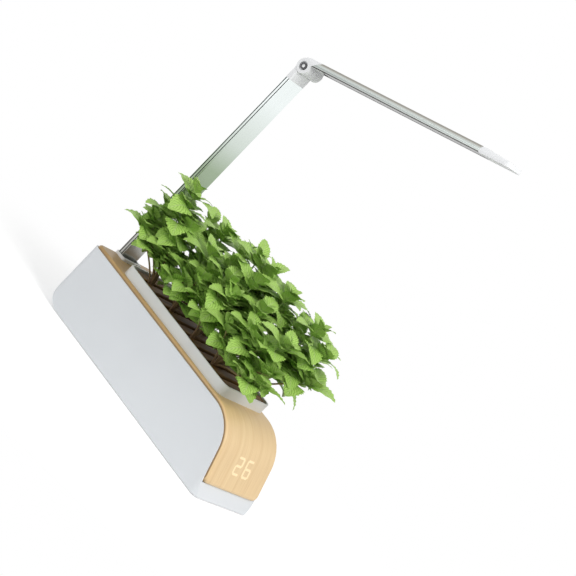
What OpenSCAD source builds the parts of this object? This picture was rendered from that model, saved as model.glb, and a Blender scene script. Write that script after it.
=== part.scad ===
// Countertop hydroponic garden: a white planter with a wood-grain waterfall cover,
// a lift-out planting tray of mint and a folding grow lamp on an aluminium stem.
// Millimetres, +Z up. The origin is the middle of the underside, on the counter.

/* [Planter body] */
// Length from the lamp end to the toe of the waterfall
body_l = 360; // [340:1:400]
// Width from the front panel to the back panel
body_w = 128; // [124:1:150]
// Height of the shell's rim above its underside
rim_h = 93.5; // [88:0.5:110]
// Thickness of the shell's walls
shell_wall = 2; // [1.8:0.1:2.5]
// How far the lamp end leans in at its foot
end_draft = 2; // [0:0.5:4]
// Radius that turns the lamp end under the body
heel_r = 28; // [20:1:32]
// Radius that turns the flat top into the slope
brow_r = 54; // [44:1:60]
// How far the toe reaches out past the top of the slope
slope_run = 36; // [28:1:44]
// Radius of the upright corners, seen from above
plan_r = 10; // [8:0.5:14]
// Height of the bare white chin under the wood
chin_h = 18.5; // [14:0.5:24]

/* [Wood cover] */
// How far the cover stands above the rim
cover_rise = 4.6; // [4:0.1:6]
// How far the cover's skirt reaches down inside the rim
cover_seat = 2.4; // [2:0.1:3]
// Thickness of the cover's skin
cover_skin = 2.6; // [2.2:0.1:3]
// Radius of the cover's long soft edge
cover_edge_r = 3.6; // [3:0.1:4]
// Clearance round pieces that drop into a pocket
fit_gap = 0.15; // [0.1:0.05:0.3]
// Width of the ledge that the cover sits on
ledge_w = 2.5; // [2:0.5:4]

/* [Base] */
// Thickness of the base plate's flange
base_flange = 2; // [2:0.5:3]
// Margin of the base opening from the body's long sides
base_margin = 14; // [12:1:18]
// How far the plate's flange laps over the shell's floor
base_lap = 8; // [7:1:10]
// Height of the rubber foot strips
foot_h = 1.2; // [1:0.1:2]
// Width of one rubber foot strip
foot_w = 12; // [10:1:16]
// Thread diameter of the base screws
screw_d = 3; // [2.5:0.5:3.5]

/* [Water tank] */
// Gap from the lamp end to the tank
tank_start = 40; // [38:1:44]
// Gap between the tank's end and the main board
tank_gap = 5; // [4:0.5:8]
// Gap between the tank and the inner face of the long walls
tank_side = 4; // [3.5:0.5:6]
// Thickness of the tank's walls
tank_wall = 2; // [1.8:0.1:2.5]
// Corner radius of the tank
tank_r = 14; // [10:1:18]

/* [Planting tray] */
// Distance from the rim to the toe of the waterfall
tray_end = 79.2; // [78:0.2:84]
// Width of the tray's rim
tray_w = 110; // [104:1:112]
// Height of the rim above the wood
tray_rim_h = 14; // [12:0.5:18]
// Thickness of the rim
tray_rim_t = 2.6; // [2:0.1:3]
// Corner radius of the rim
tray_r = 12; // [9:0.5:14]
// Distance from the lamp end to the rim
tray_start = 52.8; // [51:0.2:56]
// Depth of the basin below the wood
basin_depth = 30; // [24:1:36]
// How far the basin is set in from the rim
basin_in = 6; // [5:0.5:8]
// Thickness of the basin's walls
basin_t = 1.8; // [1.6:0.1:2.4]

/* [Slat deck] */
// Number of slats
slat_n = 9; // [9]
// Gap between an end slat and the rim
slat_end_gap = 2.4; // [2:0.2:3]
// Width of one slat
slat_w = 18; // [16:0.5:19]
// Thickness of one slat
slat_t = 6; // [5:0.5:7]
// Radius of a slat's long top edges
slat_r = 2; // [1:0.25:2.5]
// Height of the rails under the slats
rail_h = 4; // [3:0.5:5]

/* [Herbs] */
// Diameter of a grow sponge
sponge_d = 20; // [16:1:24]
// Diameter of a herb stem
herb_stem_d = 2.4; // [2:0.1:3]
// Height of the tallest herb above the deck
herb_h = 142; // [120:1:145]
// Length of a large leaf
leaf_l = 38; // [28:1:40]

/* [Lamp stem] */
// Width of the stem across the body
stem_w = 35; // [30:0.5:38]
// Thickness of the stem
stem_t = 8.5; // [8:0.5:9]
// Distance from the lamp end to the stem's back face
stem_start = 4; // [4:0.1:5]
// How far the lamp stands in front of the middle
lamp_front = 4; // [0:0.5:6]
// Wall of the stem's extrusion
stem_skin = 1.4; // [1.2:0.1:1.6]
// Length of the extrusion
stem_l = 319; // [300:1:330]
// Depth of the stem's pivot below the top of the wood
pivot_drop = 14; // [13:0.5:16]
// Diameter of the stem's pivot pin
pivot_d = 3; // [2:0.5:3.5]
// Furthest that the stem leans over the tray
stem_lean = 10; // [6:1:10]
// Height of the collar above the wood
collar_rise = 3.6; // [3:0.2:5]
// Length of the collar along the body
collar_l = 20; // [20:0.5:24]
// Width of the collar across the body
collar_w = 42; // [41:0.5:46]

/* [Lamp head] */
// Outer diameter of the head's hinge barrel
barrel_d = 20.6; // [19:0.2:22]
// Height of the hinge axis above the extrusion's end
hinge_rise = 24.5; // [24:0.5:26]
// Diameter of the hinge bolt
hinge_bolt_d = 6; // [5:0.5:7]
// Running clearance on a pin's radius
run_gap = 0.05; // [0.02:0.01:0.1]
// Pitch of the head above level, as it is set
head_pitch = 17.2; // [10:0.2:25]
// Reach of the head from the hinge axis to its tip
head_l = 330; // [300:1:340]
// Width of the head
head_w = 35; // [30:0.5:38]
// Thickness of the head
head_t = 9.5; // [9:0.25:11]
// Height of the head's flat underside over the hinge axis
head_lift = 3.8; // [3.4:0.2:5]
// Wall of the head's extrusion
head_skin = 1.5; // [1.2:0.1:1.8]
// Length of the white end cap
cap_l = 48; // [40:1:56]

/* [Hidden] */
$fn = 64;
eps = 0.01;

// The side outline: slope angle from upright, the brow's centre and the heel's centre.
slope_a = atan(slope_run / rim_h);
toe_reach = body_l * cos(slope_a);
brow_z = rim_h - brow_r;
brow_x = (toe_reach - brow_r - brow_z * sin(slope_a)) / cos(slope_a);
draft_a = atan(end_draft / rim_h);
heel_x = end_x(heel_r, 0) + heel_r / cos(draft_a);
// Distances up the slope from the toe: where the brow starts and where the wood ends.
slope_top = (body_l - brow_x - brow_r * cos(slope_a)) * sin(slope_a)
  + (brow_z + brow_r * sin(slope_a)) * cos(slope_a);
chin_s = chin_h / cos(slope_a);
half_w = body_w / 2;
cover_in = shell_wall + fit_gap;
cover_z = rim_h + cover_rise;

// Base opening and plate
open_x0 = heel_x + base_lap + 8;
open_x1 = body_l - shell_wall - base_lap - 22;
open_y = half_w - base_margin;
plate_z = shell_wall + base_flange;
foot_y = open_y - 3;

// Main board, tank and tray
board_l = 34;
board_w = 76;
board_x = open_x1 + base_lap - board_l / 2 - 1;
tank_x1 = board_x - board_l / 2 - tank_gap;
tank_l = tank_x1 - tank_start;
tank_y = half_w - shell_wall - tank_side;
tank_top = rim_h - cover_seat;
tray_l = body_l - tray_start - tray_end;
tray_mid = tray_start + tray_l / 2;
basin_z = cover_z - basin_depth;
shelf_t = 2;
basin_l = tray_l - 2 * basin_in;
basin_w = tray_w - 2 * basin_in;
basin_r = tray_r - basin_in / 2;
rail_z = cover_z + shelf_t;
slat_z = rail_z + rail_h;
slat_l = tray_w - 2 * tray_rim_t - 1;
slat_pitch = (tray_l - 2 * (tray_rim_t + slat_end_gap) - slat_w) / (slat_n - 1);
rail_w = basin_in - tray_rim_t;
rail_y = slat_l / 2 - rail_w / 2;
rail_l = (slat_n - 1) * slat_pitch + slat_w / 3;

// Lamp
pivot_z = cover_z - pivot_drop;
stem_x = stem_start + stem_t / 2;
stem_z0 = pivot_z + 7;
stem_z1 = stem_z0 + stem_l;
hinge_x = stem_start + stem_t;
hinge_z = stem_z1 + hinge_rise;
barrel_r = barrel_d / 2;
foot_t = stem_t - 2 * stem_skin - 0.2;
foot_tongue_w = 20;
knuckle_w = 13;
swing_gap = 0.4;
cap_start = head_l - cap_l;
metal_top_u = 22.6;
metal_low_u = 11;
neck_tongue = 18;
cap_tongue = 8;

// Herbs: one plant in each gap between slats, in two rows
row_y = 27;
sponge_z = basin_z + basin_t;
sponge_h = slat_z - sponge_z - 1.2;

function end_x(z, in) = end_draft * (1 - z / rim_h) + in;
function slope_x(z, in) = (toe_reach - in - z * sin(slope_a)) / cos(slope_a);
function gap_x(k) = tray_mid + (k - (slat_n - 2) / 2) * slat_pitch;
function plant_y(i) = (i % 2 == 0 ? -1 : 1) * row_y;

// Moves the body's own frame, from the lamp end at the underside, to the part's frame.
module placed() {
  translate([-body_l / 2, 0, foot_h])
    children();
}

// Side outline in length and height. over_in is the inset of the top, brow and slope,
// end_in the inset of the lamp end, the heel and the floor.
module side_outline(over_in, end_in) {
  top = rim_h - over_in;
  brow_now = brow_r - over_in;
  heel_now = heel_r - end_in;
  out = [cos(slope_a), sin(slope_a)];
  corners = [[end_x(top, end_in), top], [end_x(end_in, end_in), end_in],
    [slope_x(end_in, over_in), end_in], [slope_x(top, over_in), top]];
  intersection() {
    polygon(corners);
    union() {
      polygon([[end_x(top, end_in), top],
        [heel_x - heel_now * cos(draft_a), heel_r - heel_now * sin(draft_a)],
        [heel_x, end_in], [slope_x(end_in, over_in), end_in],
        [brow_x + brow_now * out[0], brow_z + brow_now * out[1]], [brow_x, top]]);
      translate([heel_x, heel_r])
        circle(r = heel_now);
      translate([brow_x, brow_z])
        circle(r = brow_now, $fn = 128);
    }
  }
}

module side_slab(over_in, end_in, reach_y) {
  rotate([90, 0, 0])
    linear_extrude(2 * reach_y, center = true)
      side_outline(over_in, end_in);
}

module round_rect(l, w, r) {
  square([l - 2 * r, w], center = true);
  square([l, w - 2 * r], center = true);
  for (sx = [-1, 1], sy = [-1, 1])
    translate([sx * (l / 2 - r), sy * (w / 2 - r)])
      circle(r = r);
}

// The body's upright prism with rounded corners, inset on every side
module plan_prism(in) {
  translate([body_l / 2, 0, -rim_h])
    linear_extrude(3 * rim_h)
      round_rect(body_l - 2 * in, body_w - 2 * in, max(plan_r - in, 1));
}

// Frame on the slope: X out of the slope, Z up along it, from the toe
module on_slope() {
  translate([body_l, 0, 0])
    rotate([0, -slope_a, 0])
      children();
}

// Cross-section of the cover: across, then out of the surface, with soft top corners
module cover_section(reach, low, high, r) {
  translate([-reach, low])
    square([2 * reach, high - r - low]);
  translate([-reach + r, low])
    square([2 * (reach - r), high - low]);
  for (side = [-1, 1])
    translate([side * (reach - r), high - r])
      circle(r = r);
}

// Cross-section of the cover's end: out from a corner's centre, soft at the far top
module end_section(l, low, high, r) {
  translate([0, low])
    square([l, high - r - low]);
  translate([0, low])
    square([l - r, high - low]);
  translate([l - r, high - r])
    intersection() {
      circle(r = r);
      square(r);
    }
}

// One end strip of the cover, lying in XY with its end edge at x = 0
module cover_end(reach, low, high, r, corner) {
  for (side = [-1, 1])
    translate([corner, side * (reach - corner), 0])
      rotate([0, 0, side > 0 ? 90 : 180])
        rotate_extrude(angle = 90)
          end_section(corner, low, high, r);
  translate([corner, 0, 0])
    rotate([90, 0, 0])
      linear_extrude(2 * (reach - corner), center = true)
        mirror([1, 0])
          end_section(corner, low, high, r);
}

// The slope's run is a hair smaller than the brow and the end it laps into
seam_step = 0.02;
seam_lap = 0.4;

// The cover's whole form between two surfaces, measured out of the rim's surface
module cover_form(in, low, high, r, corner) {
  reach = half_w - in;
  start = in;
  stop = chin_s + in - cover_in;
  translate([start, 0, rim_h])
    cover_end(reach, low, high, r, corner);
  translate([brow_x, 0, rim_h])
    rotate([0, -90, 0])
      linear_extrude(brow_x - start - corner)
        rotate([0, 0, -90])
          cover_section(reach, low, high, r);
  translate([brow_x, 0, brow_z])
    rotate([-90, 0, 0])
      rotate([0, 0, -90])
        rotate_extrude(angle = 90 - slope_a, $fn = 128)
          translate([brow_r, 0])
            rotate([0, 0, -90])
              cover_section(reach, low, high, r);
  on_slope() {
    translate([0, 0, stop + corner - seam_lap])
      linear_extrude(slope_top - stop - corner + 2 * seam_lap)
        rotate([0, 0, -90])
          cover_section(reach - seam_step, low + seam_step, high - seam_step, r);
    translate([0, 0, stop])
      rotate([0, -90, 0])
        mirror([0, 0, 1])
          cover_end(reach, low, high, r, corner);
  }
}

// Slots and bores that the shell and the base share
module base_screw_places() {
  for (x = [open_x0 - base_lap / 2, open_x1 + base_lap / 2], side = [-1, 1])
    translate([x, side * (open_y - 8), 0])
      children();
}

module outer_shell() {
  color("whitesmoke")
    placed() {
      difference() {
        intersection() {
          side_slab(0, 0, half_w);
          plan_prism(0);
        }
        difference() {
          intersection() {
            union() {
              side_slab(shell_wall, shell_wall, half_w);
              intersection() {
                side_slab(-2 * cover_rise, shell_wall, half_w);
                cover_pocket();
              }
            }
            plan_prism(shell_wall);
          }
          ledge();
          lamp_ribs();
        }
        translate([open_x0, -open_y, -1])
          cube([open_x1 - open_x0, 2 * open_y, 2 * shell_wall + 2]);
        base_screw_places() {
          translate([0, 0, -1])
            cylinder(d = screw_d + 0.4, h = shell_wall + 2);
          translate([0, 0, -eps])
            cylinder(d1 = 2 * screw_d + 0.2, d2 = screw_d, h = screw_d / 2);
        }
        translate([inlet_x, half_w + 1, inlet_z])
          rotate([90, 0, 0])
            cylinder(d = inlet_d + 2 * fit_gap, h = shell_wall + 2);
      }
    }
}

// Space above the chin line, where the cover replaces the shell's skin
module cover_pocket() {
  on_slope()
    translate([-2 * body_l, -half_w, chin_s - fit_gap])
      cube([3 * body_l, body_w, 2 * body_l]);
}

// The ledge inside the rim that carries the cover
module ledge() {
  difference() {
    intersection() {
      side_slab(cover_seat, 0, half_w);
      cover_pocket();
    }
    side_slab(cover_seat + 2, 0, half_w + 1);
    translate([shell_wall + ledge_w, -half_w + shell_wall + ledge_w, 0])
      cube([2 * body_l, body_w - 2 * (shell_wall + ledge_w), 2 * rim_h]);
    translate([0, -lamp_front - collar_w / 2, 0])
      cube([collar_x1, collar_w, 2 * rim_h]);
  }
}

// Two upright ribs under the lamp's socket
rib_t = 2.4;
rib_y = foot_tongue_w / 2 - 1;
module lamp_ribs() {
  for (side = [-1, 1])
    translate([0, -lamp_front + side * rib_y - rib_t / 2, 0])
      cube([collar_x1, rib_t, socket_z]);
}

module wood_cover() {
  hollow_high = cover_rise - cover_skin;
  inner_in = cover_in + cover_skin;
  color("burlywood")
    placed()
      difference() {
        union() {
          difference() {
            cover_form(cover_in, -cover_seat, cover_rise, cover_edge_r, plan_r - 1);
            cover_form(inner_in, -cover_seat - 1, hollow_high, 1, plan_r - cover_skin);
          }
          display_places()
            rotate([0, 90, 0])
              cylinder(d = 5, h = hollow_high - board_n1 + eps);
        }
        display_places()
          translate([-1, 0, 0])
            rotate([0, 90, 0])
              cylinder(d = 2, h = 4);
        translate([tray_mid, 0, rim_h - cover_seat - 2])
          linear_extrude(cover_seat + cover_rise + 4)
            round_rect(basin_l + 1, basin_w + 1, basin_r + 0.5);
        translate([0, -lamp_front, rim_h - cover_seat - 2])
          linear_extrude(cover_seat + cover_rise + 4) {
            translate([(collar_x0 + collar_x1) / 2, 0])
              round_rect(collar_l + 2 * fit_gap, collar_w + 2 * fit_gap, collar_r + fit_gap);
            translate([-1, -collar_w / 2 - fit_gap])
              square([collar_x0 + collar_l / 2, collar_w + 2 * fit_gap]);
          }
      }
}

module base_plate() {
  inside = 0.25;
  color("gainsboro")
    placed()
      difference() {
        union() {
          translate([open_x0 + inside, -open_y + inside, 0])
            cube([open_x1 - open_x0 - 2 * inside, 2 * (open_y - inside), shell_wall]);
          translate([open_x0 - base_lap, -open_y - 3, shell_wall])
            cube([open_x1 - open_x0 + 2 * base_lap, 2 * open_y + 6, base_flange]);
          board_places()
            translate([0, 0, plate_z - eps])
              cylinder(d = 6, h = post_h + eps);
        }
        base_screw_places()
          translate([0, 0, shell_wall - 1])
            cylinder(d = screw_d, h = base_flange + 2);
        board_places()
          translate([0, 0, plate_z + 1])
            cylinder(d = 2.2, h = post_h);
      }
}

module foot_strips() {
  color("dimgray")
    placed()
      for (x = [open_x0 + foot_w, body_l / 2, open_x1 - foot_w])
        translate([x, 0, -foot_h])
          linear_extrude(foot_h)
            round_rect(foot_w, 2 * foot_y, 3);
}

module base_screws() {
  color("silver")
    placed()
      base_screw_places() {
        cylinder(d1 = 2 * screw_d, d2 = screw_d, h = screw_d / 2);
        cylinder(d = screw_d, h = plate_z);
      }
}

module water_tank() {
  mid = (tank_start + tank_x1) / 2;
  color("lightgray")
    placed()
      difference() {
        translate([mid, 0, plate_z])
          linear_extrude(tank_top - plate_z)
            round_rect(tank_l, 2 * tank_y, tank_r);
        translate([mid, 0, plate_z + tank_wall])
          linear_extrude(tank_top)
            round_rect(tank_l - 2 * tank_wall, 2 * (tank_y - tank_wall), tank_r - tank_wall);
      }
}

// Pump: a sealed motor block, a volute ring, its cover and a six-blade impeller
motor_l = 42;
motor_w = 34;
motor_h = 18;
pump_x = tank_x1 - tank_wall - motor_l;
pump_z = plate_z + tank_wall;
volute_h = 12;
volute_d = 32;
shaft_d = 3;
module pump_place() {
  placed()
    translate([pump_x, 0, pump_z])
      children();
}

module pump_motor() {
  color("darkslategray")
    pump_place()
      difference() {
        linear_extrude(motor_h)
          round_rect(motor_l, motor_w, 5);
        translate([0, 0, motor_h - 10])
          cylinder(d = shaft_d + 2 * run_gap, h = 11);
      }
}

module pump_volute() {
  color("slategray")
    pump_place()
      translate([0, 0, motor_h])
        difference() {
          union() {
            cylinder(d = volute_d, h = volute_h);
            translate([volute_d / 2 - 4, -6, 0])
              cube([14, 12, volute_h]);
          }
          translate([0, 0, -1])
            cylinder(d = volute_d - 5, h = volute_h + 2);
          translate([volute_d / 2 - 5, -2, 3])
            cube([9, 4, 5]);
          translate([riser_dx, 0, 3])
            cylinder(d = 4, h = volute_h);
          translate([riser_dx, 0, volute_h - 4])
            cylinder(d = riser_d + 2 * fit_gap, h = 6);
        }
}

module pump_cover() {
  color("slategray")
    pump_place()
      translate([0, 0, motor_h + volute_h])
        difference() {
          cylinder(d = volute_d, h = 2.5);
          translate([0, 0, -1])
            cylinder(d = 8, h = 5);
          for (k = [0:5])
            rotate([0, 0, 60 * k])
              translate([6, -1, -1])
                cube([6, 2, 5]);
        }
}

module pump_impeller() {
  color("lightsteelblue")
    pump_place() {
      translate([0, 0, motor_h - 9])
        cylinder(d = shaft_d, h = 18);
      translate([0, 0, motor_h + 1])
        cylinder(d = 22, h = 1.5);
      translate([0, 0, motor_h + 1])
        cylinder(d = 6, h = 9);
      for (k = [0:5])
        rotate([0, 0, 60 * k])
          translate([2, -0.6, motor_h + 2])
            cube([8.8, 1.2, 7]);
    }
}

riser_d = 8;
riser_dx = volute_d / 2 + 4;
module riser_tube() {
  low = motor_h + volute_h - 4;
  high = basin_z - pump_z - 2;
  color("lightcyan")
    pump_place()
      translate([riser_dx, 0, low])
        difference() {
          cylinder(d = riser_d, h = high - low);
          translate([0, 0, -1])
            cylinder(d = 5, h = high - low + 2);
        }
}

sensor_w = 26;
sensor_h = 18;
sensor_rise = 20;
module level_sensor() {
  color("darkslategray")
    placed()
      translate([tank_x1, 0, plate_z + sensor_rise + sensor_h / 2])
        rotate([90, 0, 90])
          linear_extrude(tank_gap + 1)
            round_rect(sensor_w, sensor_h, 3);
}

// Main board on four posts under the slope
post_h = 6;
module board_places() {
  for (sx = [-1, 1], sy = [-1, 1])
    translate([board_x + sx * (board_l / 2 - 4), sy * (board_w / 2 - 4), 0])
      children();
}

module control_board() {
  top = plate_z + post_h + 1.6;
  color("seagreen")
    placed() {
      difference() {
        translate([board_x - board_l / 2, -board_w / 2, plate_z + post_h])
          cube([board_l, board_w, 1.6]);
        board_places()
          cylinder(d = 2.4, h = 40);
      }
      translate([board_x - 8, -8, top])
        cube([16, 16, 2]);
      translate([board_x, 22, top])
        cylinder(d = 8, h = 9);
      translate([board_x - 6, -32, top])
        cube([12, 14, 7]);
    }
}

// Display board behind the slope: two figures of seven light bars each
board_n1 = -1.6;
digit_s = 52;
digit_h = 24;
digit_w = 14;
digit_pitch = 22;
bar_w = 3;
display_screw_y = 26;
display_screw_s = 12;
module display_places() {
  on_slope()
    for (sy = [-1, 1], ss = [-1, 1])
      translate([board_n1, sy * display_screw_y, digit_s + ss * display_screw_s])
        children();
}

module display_board() {
  half_y = display_screw_y + 4;
  half_s = display_screw_s + 5;
  color("seagreen")
    placed()
      difference() {
        on_slope()
          translate([board_n1 - 1.6, -half_y, digit_s - half_s])
            cube([1.6, 2 * half_y, 2 * half_s]);
        display_places()
          translate([-2, 0, 0])
            rotate([0, 90, 0])
              cylinder(d = 2.4, h = 4);
      }
}

// One light bar, lying along X, with pointed ends
module bar(l) {
  p = bar_w / 2;
  polygon([[-l / 2, 0], [-l / 2 + p, p], [l / 2 - p, p], [l / 2, 0],
    [l / 2 - p, -p], [-l / 2 + p, -p]]);
}

module digit_bars() {
  across = digit_w - bar_w;
  up = (digit_h - bar_w) / 2;
  for (row = [-1:1])
    translate([0, row * up])
      bar(across - 0.8);
  for (sx = [-1, 1], sz = [-1, 1])
    translate([sx * across / 2, sz * up / 2])
      rotate(90)
        bar(up - 0.8);
}

module display_digits() {
  color("cornsilk")
    placed()
      on_slope()
        for (side = [-1, 1])
          translate([board_n1, side * digit_pitch / 2, digit_s])
            rotate([90, 0, 90])
              linear_extrude(cover_rise - cover_skin - board_n1 - 0.1)
                digit_bars();
}

module display_screws() {
  color("silver")
    placed()
      display_places() {
        translate([-2.8, 0, 0])
          rotate([0, 90, 0])
            cylinder(d = 3.8, h = 1.2);
        translate([-1.7, 0, 0])
          rotate([0, 90, 0])
            cylinder(d = 1.9, h = 4);
      }
}

// Power inlet low on the back panel at the lamp end
inlet_x = 24;
inlet_z = 24;
inlet_d = 10;
module dc_inlet() {
  color("dimgray")
    placed()
      translate([inlet_x, half_w, inlet_z])
        rotate([90, 0, 0]) {
          difference() {
            union() {
              cylinder(d = inlet_d, h = shell_wall + 1);
              translate([-7, -6, shell_wall])
                cube([14, 12, 14]);
            }
            translate([0, 0, -1])
              cylinder(d = 6.4, h = 11);
          }
          translate([0, 0, 1.5])
            cylinder(d = 2, h = 9);
        }
}

// Collar and socket of the lamp: the slot is long towards the tray, so the stem can lean
socket_z = pivot_z - 8;
collar_x0 = cover_in;
collar_x1 = collar_x0 + collar_l;
slot_x1 = stem_x + stem_t / 2 / cos(stem_lean)
  + (cover_z + collar_rise - pivot_z) * tan(stem_lean) + 2.5;
slot_y = stem_w / 2 + 0.4;
collar_r = 5;
module lamp_collar() {
  flange_z = rim_h - cover_seat;
  tight_x = stem_x - foot_t / 2 - 0.35;
  color("lightgray")
    placed()
      translate([0, -lamp_front, 0])
        difference() {
          union() {
            translate([collar_x0 + collar_l / 2, 0, flange_z])
              linear_extrude(cover_z + collar_rise - flange_z)
                round_rect(collar_l, collar_w, collar_r);
            translate([tight_x - 1.4, -slot_y - 2, socket_z])
              cube([collar_x1 - 1 - tight_x, 2 * slot_y + 4, flange_z - socket_z + eps]);
          }
          translate([stem_start - 0.3, -slot_y, pivot_z + 5])
            cube([slot_x1 - stem_start + 0.3, 2 * slot_y, 40]);
          translate([tight_x, -foot_tongue_w / 2 - 0.3, socket_z + 2])
            cube([slot_x1 - tight_x, foot_tongue_w + 0.6, 40]);
          translate([stem_x, 0, pivot_z])
            rotate([90, 0, 0])
              cylinder(d = pivot_d, h = collar_w + 2, center = true);
        }
}

module stem_pin() {
  color("silver")
    placed()
      translate([stem_x, -lamp_front, pivot_z])
        rotate([90, 0, 0])
          cylinder(d = pivot_d, h = 2 * slot_y + 4, center = true);
}

module planting_tray() {
  color("white")
    placed()
      translate([tray_mid, 0, 0])
        difference() {
          union() {
            translate([0, 0, cover_z])
              linear_extrude(tray_rim_h)
                round_rect(tray_l, tray_w, tray_r);
            translate([0, 0, basin_z])
              linear_extrude(basin_depth + eps)
                round_rect(basin_l, basin_w, basin_r);
          }
          translate([0, 0, rail_z])
            linear_extrude(tray_rim_h)
              round_rect(tray_l - 2 * tray_rim_t, tray_w - 2 * tray_rim_t, tray_r - tray_rim_t);
          translate([0, 0, basin_z + basin_t])
            linear_extrude(basin_depth + shelf_t)
              round_rect(basin_l - 2 * basin_t, basin_w - 2 * basin_t, basin_r - basin_t);
          for (k = [0:2:slat_n - 2], side = [-1, 0, 1])
            translate([gap_x(k) - tray_mid + slat_pitch / 2, side * row_y, basin_z - 1])
              linear_extrude(basin_t + 2)
                round_rect(4, 16, 1.9);
        }
}

module deck_rails() {
  color("saddlebrown")
    placed()
      for (side = [-1, 1])
        translate([tray_mid - rail_l / 2, side * rail_y - rail_w / 2, rail_z])
          cube([rail_l, rail_w, rail_h]);
}

module slat(k) {
  color("sienna")
    placed()
      intersection() {
        translate([tray_mid + (k - (slat_n + 1) / 2) * slat_pitch, 0, slat_z])
          rotate([90, 0, 0])
            linear_extrude(slat_l, center = true) {
              translate([-slat_w / 2, 0])
                square([slat_w, slat_t - slat_r]);
              translate([-slat_w / 2 + slat_r, 0])
                square([slat_w - 2 * slat_r, slat_t]);
              for (side = [-1, 1])
                translate([side * (slat_w / 2 - slat_r), slat_t - slat_r])
                  circle(r = slat_r);
            }
        translate([tray_mid, 0, slat_z - 1])
          linear_extrude(slat_t + 2)
            round_rect(tray_l - 2 * tray_rim_t - 0.7, slat_l + 0.3, tray_r - tray_rim_t - 0.35);
      }
}

module grow_sponges() {
  color("peru")
    placed()
      for (i = [0:slat_n - 2])
        translate([gap_x(i), plant_y(i), sponge_z])
          cylinder(d = sponge_d, h = sponge_h);
}

// A mint leaf lying along X from its stalk: a thin blade, a plain kite where it is small
leaf_t = 0.9;
leaf_half = 0.3;
module leaf(l) {
  margin = l < 0.8 * leaf_l ? [[0.44, leaf_half]] : [[0.3, 0.95 * leaf_half], [0.64, 0.95 * leaf_half]];
  hull()
    linear_extrude(leaf_t) {
      polygon([[0.25, -0.25], for (p = margin) [p[0] * l, -p[1] * l], [0.95 * l, 0]]);
      polygon([[0.25, 0.25], for (p = margin) p * l, [0.95 * l, 0]]);
    }
}

// A straight run of square stem between two points
module twig(a, b) {
  hull() {
    translate(a - [0, 0, 0.4])
      cylinder(d = herb_stem_d, h = 1, $fn = 4);
    translate(b)
      cylinder(d = herb_stem_d * 0.8, h = 1.3, $fn = 4);
  }
}

// Pairs of leaves down from a stem's tip: distance, share of the leaf's length, and rise
leaf_pairs = [[0, 0.42, 58], [6, 0.72, 31], [15, 0.95, 9], [30, 1, -10], [50, 0.85, -25]];
deck_top = slat_z + slat_t + 2;

// Point on the stem at a distance below its tip
function below(tip, elbow, knee, d) =
  d < norm(tip - elbow) ? tip + (elbow - tip) * d / norm(tip - elbow)
  : elbow + (knee - elbow) * (d - norm(tip - elbow)) / norm(knee - elbow);

// One herb stem: upright through the deck, then leaning, with crossed pairs of leaves
module mint_stem(foot, lean, h, turn) {
  knee = [foot[0], foot[1], deck_top];
  elbow = knee + [lean[0] * 0.4, lean[1] * 0.4, h * 0.5];
  tip = knee + [lean[0], lean[1], h];
  twig(foot, knee);
  twig(knee, elbow);
  twig(elbow, tip);
  for (n = [0:len(leaf_pairs) - 1]) {
    p = below(tip, elbow, knee, leaf_pairs[n][0]);
    l = leaf_l * leaf_pairs[n][1];
    rise = leaf_pairs[n][2];
    if (p[2] + l * sin(rise) > deck_top + 1)
      for (side = [0, 180])
        translate(p)
          rotate([0, -rise, turn + 90 * n + side])
            leaf(l);
  }
}

// Stems of each plant: lean along and across, share of herb_h, and turn of the leaves
herb_stems = [
  [[-51, -29, 0.31, 27], [-53, -15, 0.55, 71], [-11, -9, 0.58, 12], [3, -29, 0.31, 57]],
  [[-73, 10, 0.66, 44], [-38, 4, 0.7, 75], [5, 4, 0.75, 19]],
  [[-15, -3, 0.58, 63], [13, -25, 0.4, 17], [11, 11, 0.66, 37]],
  [[-16, -5, 0.82, 51], [12, -11, 0.82, 8], [1, 25, 0.61, 74]],
  [[-14, -12, 0.58, 34], [13, -20, 0.52, 79], [5, 8, 0.72, 21]],
  [[10, -13, 0.82, 64], [-12, 10, 0.73, 19], [8, 24, 0.58, 51]],
  [[-4, -28, 0.36, 62], [-6, 5, 0.63, 31], [34, -21, 0.43, 12], [65, -13, 0.59, 49],
    [79, -27, 0.33, 76]],
  [[-8, 3, 0.72, 32], [26, -17, 0.83, 77], [50, -3, 0.71, 16], [18, 25, 0.58, 52]]];
foot_step = 3.4;

// A plant keeps to its own share of the room, clear of its neighbours and of the lamp:
// the two at the lamp end stay outside a line that passes the leaning stem
side_reach = 84;
end_reach = 54;
left_reach = -28;
share_gap = 0.4;
lamp_pass_x = 92;
module plant_room(i) {
  side = i % 2 == 0 ? -1 : 1;
  first = i < 2;
  last = i > 5;
  x0 = first ? left_reach : gap_x(i) - slat_pitch + share_gap;
  x1 = last ? tray_start + tray_l + end_reach : gap_x(i) + slat_pitch - share_gap;
  lamp_pass_y = first ? 58 - side * lamp_front : share_gap;
  linear_extrude(2 * (cover_z + herb_h))
    polygon([[x0, side * side_reach], [x1, side * side_reach], [x1, side * share_gap],
      [first ? lamp_pass_x : x0 + share_gap, side * share_gap], [x0, side * lamp_pass_y]]);
}

// A plant: its stems rise from one crown on the sponge
module mint(i) {
  stems = herb_stems[i];
  crown_w = herb_stem_d + 1;
  crown_half = foot_step * (len(stems) - 1) / 2;
  crown_z = sponge_z + sponge_h + 0.3;
  color("forestgreen")
    placed()
      intersection() {
        plant_room(i);
        union() {
          translate([gap_x(i) - crown_w / 2, plant_y(i) - crown_half - crown_w / 2, crown_z])
            cube([crown_w, 2 * crown_half + crown_w, 2]);
          for (n = [0:len(stems) - 1])
            mint_stem([gap_x(i), plant_y(i) - crown_half + foot_step * n, crown_z + 0.6],
              [stems[n][0], stems[n][1]], herb_h * stems[n][2], stems[n][3]);
        }
      }
}

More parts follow.
